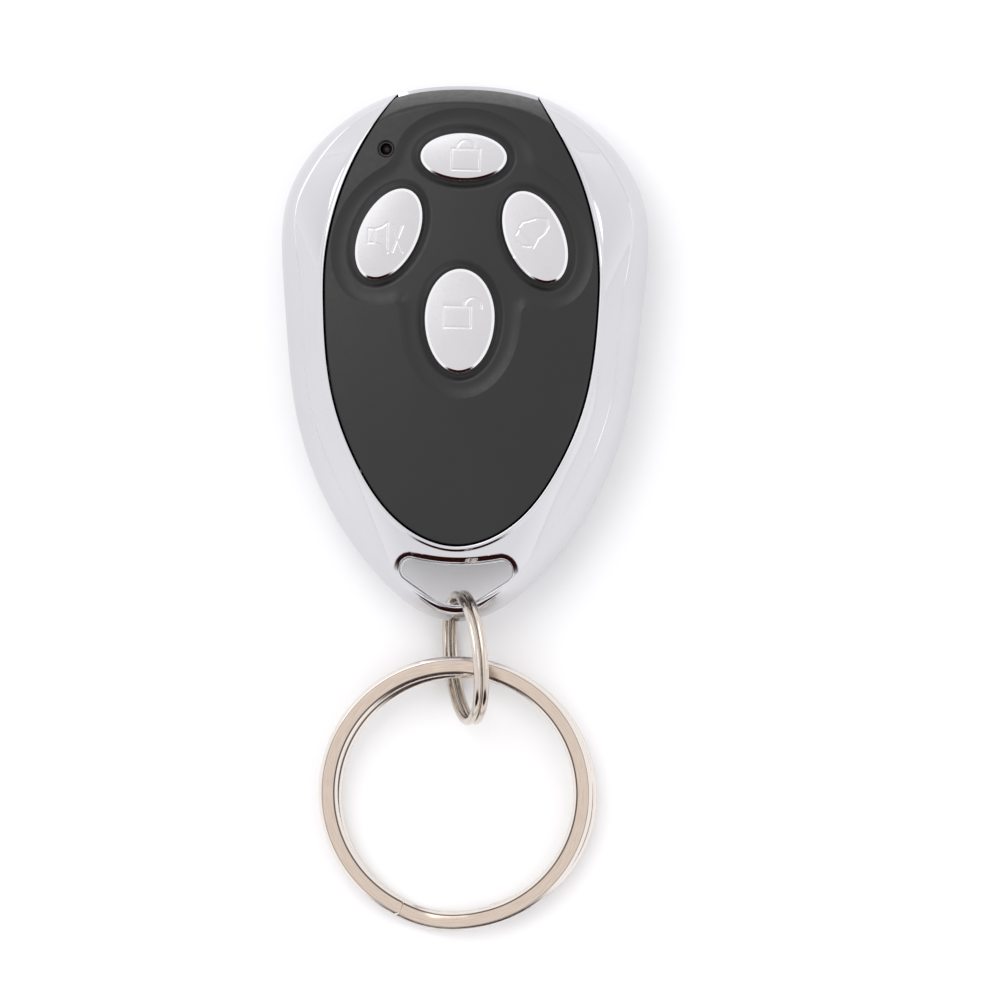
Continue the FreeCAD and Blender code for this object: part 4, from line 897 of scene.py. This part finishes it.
# Engraved outlines, in millimetres from the middle of each cap
SIGNS = {
    "lock": [[(-1.3, 0.85), (1.75, 0.85), (1.75, -1.4), (-1.3, -1.4), (-1.3, 0.85)],
             [(-0.72, 0.85), *arc_points((0.24, 0.85), 0.96, 172, 8), (1.2, 0.85)]],
    "mute": [[(-2.2, 0.55), (-1.5, 0.5), (-0.75, 0.75), (-0.1, 1.25), (-0.1, -2.0), (-0.75, -1.25),
              (-1.5, -0.95), (-2.2, -0.95), (-2.2, 0.55)],
             [(-1.5, 0.5), (-1.5, -0.95)], [(0.45, 0.95), (1.5, -1.9)], [(1.5, 0.95), (0.45, -1.9)]],
    "alarm": [[(-1.8, 0.95), (-0.15, -1.1), (0.1, -0.6), (0.35, -0.1), (1.0, 0.45), (1.42, 1.2), (1.3, 1.95),
               (0.1, 2.02), (-0.7, 1.75), (-1.35, 1.6), (-1.8, 0.95)],
              [(-1.75, 0.75), (-2.15, 0.1), (-1.9, -0.55), (-1.3, -0.95), (-0.75, -1.0), (-0.25, -0.95)]],
    "unlock": [[(-1.75, 1.2), (1.2, 1.2), (1.2, -1.05), (-1.75, -1.05), (-1.75, 1.2)],
               [(0.45, 1.2), *arc_points((1.42, 1.25), 0.93, 172, -10)]],
}


def stroke_distance(button, x, y):
    across, along = BUTTONS[button][:2]
    best = np.full(np.shape(x), 1e9)
    for stroke in SIGNS[button]:
        for (ax, ay), (bx, by) in zip(stroke, stroke[1:]):
            dx, dy = bx - ax, by - ay
            u, v = x - across - ax, y - along - ay
            t = np.clip((u * dx + v * dy) / (dx * dx + dy * dy), 0, 1)
            best = np.minimum(best, (u - t * dx) ** 2 + (v - t * dy) ** 2)
    return np.sqrt(best)


def sheet_rows(rows):
    """A skin over closed rows of corners, with normals square to it."""
    rows = np.array(rows)
    count, n = rows.shape[:2]
    normals = np.cross(np.roll(rows, -1, 1) - np.roll(rows, 1, 1), np.gradient(rows, axis=0))
    normals /= np.maximum(np.linalg.norm(normals, axis=2)[..., None], 1e-9)
    faces = [(r * n + i, r * n + (i + 1) % n, (r + 1) * n + (i + 1) % n, (r + 1) * n + i)
             for r in range(count - 1) for i in range(n)]
    return rows.reshape(-1, 3), faces, normals.reshape(-1, 3)


# Side of a cap from its foot to its face: how far out, and how far from the top
CAP_SIDE = ((0.6, -2.2), (0.6, -1.6), (0.57, -1.57), (0.02, -1.57), (0.0, -1.54), (0.0, -0.5),
            (0.0, -0.36), (-0.015, -0.29), (-0.04, -0.245), (-0.065, -0.215), (-0.25, -0.07),
            (-0.28, -0.04), (-0.31, -0.018), (-CAP_INSET, 0.0))
# So many strips at its foot, under the panel, are black: painted shade, so that the gap round the cap looks
# dark.
CAP_SHADE_ROWS = 4


def make_cap(button):
    across, along, half_width, upper, lower, _ = BUTTONS[button]
    top = float(crown(np.array(across), np.array(along))) - PANEL_STEP - MOAT + CAP_PROUD
    count = 120
    side = sheet_rows([with_height(oval(button, grow, count), top + z) for grow, z in CAP_SIDE])

    def cap_height(x, y):
        u, v = to_oval(button, x, y)
        length = np.where(v > 0, upper, lower) - CAP_INSET
        share = (u / (half_width - CAP_INSET)) ** 2 + (v / length) ** 2
        groove = 1 - smooth_step(0.1 * STROKE, 0.5 * STROKE, stroke_distance(button, x, y))
        return top + CAP_CROWN * (1 - share) - STROKE_DEPTH * groove

    def inside(x, y, margin):
        return oval_growth(button, x, y) < -CAP_INSET - margin

    near = grid(0.042, lambda x, y: inside(x, y, 0.1) & (stroke_distance(button, x, y) < 0.6 * STROKE))
    far = grid(0.4, lambda x, y: inside(x, y, 0.25) & (stroke_distance(button, x, y) > 0.8 * STROKE))
    curves = [(oval(button, grow - CAP_INSET, count), True) for grow in (0.0, -0.06, -0.16)]
    face = field(curves, np.concatenate([near, far]), cap_height, lambda x, y: inside(x, y, -0.005))
    verts, faces, normals, slots = join([(*side, 1), (*face, 0)])
    # The foot's strips get the panel's black: painted shade in the gap round the cap.
    slots[:CAP_SHADE_ROWS * count] = [2] * CAP_SHADE_ROWS * count
    made = make_object(f"{button}_cap", verts, faces, f"{button}_key", normals, [SATIN, RIM, BLACK], slots)
    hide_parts(f"{button}_button")


# Split rings

# Wire's end: how long its bevel is, the shares of its size along it, and its gap to the crossing in degrees
END_BEVEL = 0.3
END_SIZES = (0.72, 0.88)
END_GAP = 2.0
# Over so many degrees the lower turn's end closes in under the upper one.
CLOSING = 70


def two_turns(outside, radial, axial, split, cross, ramp, corner, shift=(0, 0), count=540):
    """Corners, faces and windings of one wire wound twice, with its section's corners rounded.

    The wire crosses from the lower to the upper turn at the angle cross, over ramp degrees. The lower turn
    may lie a little to the side of the upper one."""
    middle = (outside - radial) / 2
    pitch = axial + split
    start = cross - ramp / 2 - (360 - ramp) + END_GAP
    end = cross + ramp / 2 + 360 - ramp - END_GAP
    bevel = math.degrees(END_BEVEL / middle)
    turn = np.concatenate([[start, start + bevel / 2], np.linspace(start + bevel, end - bevel, count),
                           [end - bevel / 2, end]])
    size = np.concatenate([END_SIZES, np.ones(count), END_SIZES[::-1]])
    share = np.clip((turn - (cross - ramp / 2)) / ramp, 0, 1)
    rise = -pitch / 2 + pitch * share * share * (3 - 2 * share)
    quarter = [(radial / 2 - a, axial / 2 - b) for a, b in corner]
    section = quarter + [(-a, b) for a, b in quarter[::-1]]
    section = np.array(section + [(-a, -b) for a, b in section])
    n = len(section)
    length = np.concatenate([[0], np.cumsum(np.hypot(*np.diff(section, axis=0).T))])
    verts = []
    uv = []
    for t, z, s in zip(np.radians(turn), rise, size):
        r = middle + section[:, 0] * s
        loose = smooth_step(start, start + CLOSING, math.degrees(t))
        aside = -0.5 + (0.5 - z / pitch) * loose
        verts.append(np.column_stack([r * math.cos(t) + aside * shift[0], r * math.sin(t) + aside * shift[1],
                                      z + section[:, 1] * s]))
        uv.append(np.column_stack([np.full(n, t * middle * MM), length * MM]))
    rows = len(turn)
    faces = [(i * n + j, (i + 1) * n + j, (i + 1) * n + (j + 1) % n, i * n + (j + 1) % n)
             for i in range(rows - 1) for j in range(n)]
    faces.append(tuple(range(n)))
    faces.append(tuple(reversed(range((rows - 1) * n, rows * n))))
    return np.concatenate(verts), faces, np.concatenate(uv)


def make_ring(name, wound, place, body, node, material):
    verts, faces, uv = wound
    verts = np.array([place @ Vector(v) for v in verts])
    made = make_object(name, verts, faces, body, None, [material], None, uv)
    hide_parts(node)
    return made


def make_rings():
    # The small ring stands nearly upright: turned by tilt round the vertical, and leaning to one side.
    tilt, lean = math.radians(6.8), math.radians(16)
    inward = Vector((-math.sin(tilt), math.cos(tilt), 0))
    side = Vector((math.cos(tilt), math.sin(tilt), 0))
    upward = side * math.sin(lean) + Vector((0, 0, 1)) * math.cos(lean)
    turned = Matrix((inward, upward, inward.cross(upward))).transposed().to_4x4()
    small = two_turns(outside=14.6, radial=0.85, axial=0.79, split=0.07, cross=340, ramp=20,
                      corner=rounded(0.36))
    make_ring("small_split_ring", small, Matrix.Translation((1.15, -32.75, 7.25)) @ turned,
              "small_ring", "small_ring", WIRE)
    key = two_turns(outside=29.75, radial=BAND_WIDTH, axial=1.26, split=0.08, cross=266, ramp=36,
                    corner=BEVEL, shift=(0.4, -0.4), count=720)
    leaning = Matrix.Rotation(math.radians(4), 4, "X")
    make_ring("key_split_ring", key, Matrix.Translation((0.41, -47.65, 2.4)) @ leaning,
              "key_ring", "key_ring", BAND)


# Materials of the inner pieces

INNER = {
    "switch_body": surface("switch_housing", ((0.02, 0.02, 0.02), (0.03, 0.03, 0.03)), 0.0, (0.4, 0.55)),
    "plate": surface("switch_plate", ((0.55, 0.55, 0.53), (0.64, 0.64, 0.62)), 1.0, (0.22, 0.34),
                     900, 200, 0.15, 2500, (1, 8, 1)),
    "stem": surface("switch_stem", ((0.48, 0.06, 0.04), (0.55, 0.08, 0.05)), 0.0, (0.35, 0.45)),
    "board": surface("board_laminate", ((0.012, 0.09, 0.035), (0.02, 0.13, 0.05)), 0.0, (0.22, 0.3),
                     700, 400, 0.2, 2200),
    "chip": surface("chip_plastic", ((0.02, 0.02, 0.022), (0.03, 0.03, 0.032)), 0.0, (0.5, 0.6),
                    2500, 300, 0.3, 5000),
    "tin": surface("tinned_lead", ((0.60, 0.60, 0.58), (0.68, 0.68, 0.66)), 1.0, (0.25, 0.4)),
    "can": surface("drawn_can", ((0.58, 0.57, 0.52), (0.66, 0.65, 0.60)), 1.0, (0.2, 0.32)),
    "ceramic": surface("trimmer_ceramic", ((0.60, 0.48, 0.32), (0.68, 0.56, 0.38)), 0.0, (0.3, 0.4)),
    "resistor": surface("resistor_glaze", ((0.03, 0.03, 0.035), (0.05, 0.05, 0.055)), 0.0, (0.2, 0.3)),
    "capacitor": surface("capacitor_ceramic", ((0.38, 0.26, 0.15), (0.46, 0.33, 0.20)), 0.0, (0.3, 0.4)),
    "lens": surface("lamp_lens", ((0.012, 0.004, 0.004), (0.018, 0.005, 0.005)), 0.0, (0.3, 0.4)),
    "copper": surface("aerial_enamel", ((0.55, 0.26, 0.12), (0.62, 0.31, 0.15)), 1.0, (0.2, 0.3)),
    "jacket": surface("battery_film", ((0.45, 0.30, 0.06), (0.52, 0.36, 0.08)), 0.3, (0.25, 0.35)),
    "strip": surface("contact_strip", ((0.62, 0.61, 0.58), (0.70, 0.69, 0.66)), 1.0, (0.18, 0.3),
                     900, 200, 0.1, 2500, (1, 1, 6)),
    "screw": surface("screw_black", ((0.05, 0.05, 0.052), (0.08, 0.08, 0.082)), 1.0, (0.3, 0.42),
                     900, 300, 0.2),
}
FINISH = {
    "switch_bodies": "switch_body", "switch_covers": "plate", "circuit_board": "board",
    "encoder_chip": "chip", "encoder_leads": "tin", "saw_resonator": "can", "rf_transistor": "chip",
    "trimmer_capacitor": "ceramic", "chip_resistors": "resistor", "chip_capacitors": "capacitor",
    "indicator_lamp": "lens", "loop_aerial": "copper", "battery": "jacket", "positive_contact": "strip",
    "negative_contact": "strip", "cover_screws": "screw", "lock_switch_stem": "stem",
    "mute_switch_stem": "stem", "alarm_switch_stem": "stem", "unlock_switch_stem": "stem",
}
for node, finish in FINISH.items():
    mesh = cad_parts[node].data
    mesh.materials.clear()
    mesh.materials.append(INNER[finish])

make_chrome()
make_panel()
make_rear()
for name in BUTTONS:
    make_cap(name)
make_rings()


# Floor, light and camera

def make_floor():
    mesh = bpy.data.meshes.new("floor")
    reach = 3.0
    mesh.from_pydata([(-reach, -reach, 0), (reach, -reach, 0), (reach, reach, 0), (-reach, reach, 0)], [],
                     [(0, 1, 2, 3)])
    made = bpy.data.objects.new("floor", mesh)
    bpy.context.scene.collection.objects.link(made)
    material, nodes, links, shader = new_material("pale_floor")
    vector = coordinates(nodes, links, (1, 1, 1))
    links.new(tint(nodes, links, noise(nodes, links, vector, 3), (0.93, 0.93, 0.93), (0.95, 0.95, 0.95)),
              shader.inputs["Base Color"])
    shader.inputs["Roughness"].default_value = 0.9
    shader.inputs["Specular IOR Level"].default_value = 0.1
    mesh.materials.append(material)


def area_light(name, place, size, power):
    """A soft light aimed at the part."""
    data = bpy.data.lights.new(name, "AREA")
    data.shape = "RECTANGLE"
    data.size, data.size_y = size
    data.energy = power
    made = bpy.data.objects.new(name, data)
    made.location = place
    made.rotation_euler = (-Vector(place)).to_track_quat("-Z", "Y").to_euler()
    bpy.context.scene.collection.objects.link(made)


def make_camera():
    # The photograph's frame covers 108.3 mm and its middle is at (4.58, -15.65) mm, turned by 1.3 degrees.
    distance = 1.5
    centre = Vector((0.00458, -0.01565, 0.008))
    tilt = math.radians(2.5)
    away = Vector((math.sin(tilt), 0, math.cos(tilt)))
    data = bpy.data.cameras.new("camera")
    data.sensor_width = 36
    data.lens = 36 * distance / 0.1083
    made = bpy.data.objects.new("camera", data)
    roll = math.radians(1.3)
    up = Vector((-math.sin(roll), math.cos(roll), 0))
    right = up.cross(away).normalized()
    up = away.cross(right)
    made.matrix_world = Matrix.Translation(centre + away * distance) @ Matrix(
        (right, up, away)).transposed().to_4x4()
    bpy.context.scene.collection.objects.link(made)
    bpy.context.scene.camera = made


# Brightness of the surroundings by height
SKY = ((0.0, 1.25), (0.15, 1.18), (0.35, 1.1), (1.0, 1.08))
# The dark thing: its colour, and where it begins and is full, towards the tail and downwards
DARK = (0.03, 0.006, 0.005, 1)
DARK_TAILWARD = (-0.75, -0.88)
DARK_DOWNWARD = (0.6, 0.46)


def make_world():
    """Soft light from all sides, a little stronger low down, with one dark warm thing at the tail side."""
    world = bpy.data.worlds.new("studio")
    world.use_nodes = True
    nodes, links = world.node_tree.nodes, world.node_tree.links
    where = nodes.new("ShaderNodeTexCoord")
    split = nodes.new("ShaderNodeSeparateXYZ")
    links.new(where.outputs["Generated"], split.inputs["Vector"])
    sky = level_ramp(nodes, links, split.outputs["Z"], SKY, cast=(1, 0.99, 1.01))
    both = nodes.new("ShaderNodeMath")
    both.operation = "MULTIPLY"
    for number, (axis, (clear, full)) in enumerate((("Y", DARK_TAILWARD), ("Z", DARK_DOWNWARD))):
        mask = nodes.new("ShaderNodeMapRange")
        mask.interpolation_type = "SMOOTHSTEP"
        mask.inputs["From Min"].default_value = clear
        mask.inputs["From Max"].default_value = full
        links.new(split.outputs[axis], mask.inputs["Value"])
        links.new(mask.outputs["Result"], both.inputs[number])
    links.new(mixed(nodes, links, both.outputs[0], sky, DARK), nodes["Background"].inputs["Color"])
    bpy.context.scene.world = world


bpy.context.scene.view_settings.view_transform = "Standard"
make_world()
make_floor()
area_light("key", (-0.5, 0.5, 0.9), (0.9, 0.9), 3.6)
area_light("fill", (0.75, 0.0, 0.75), (0.6, 0.22), 0.45)
make_camera()
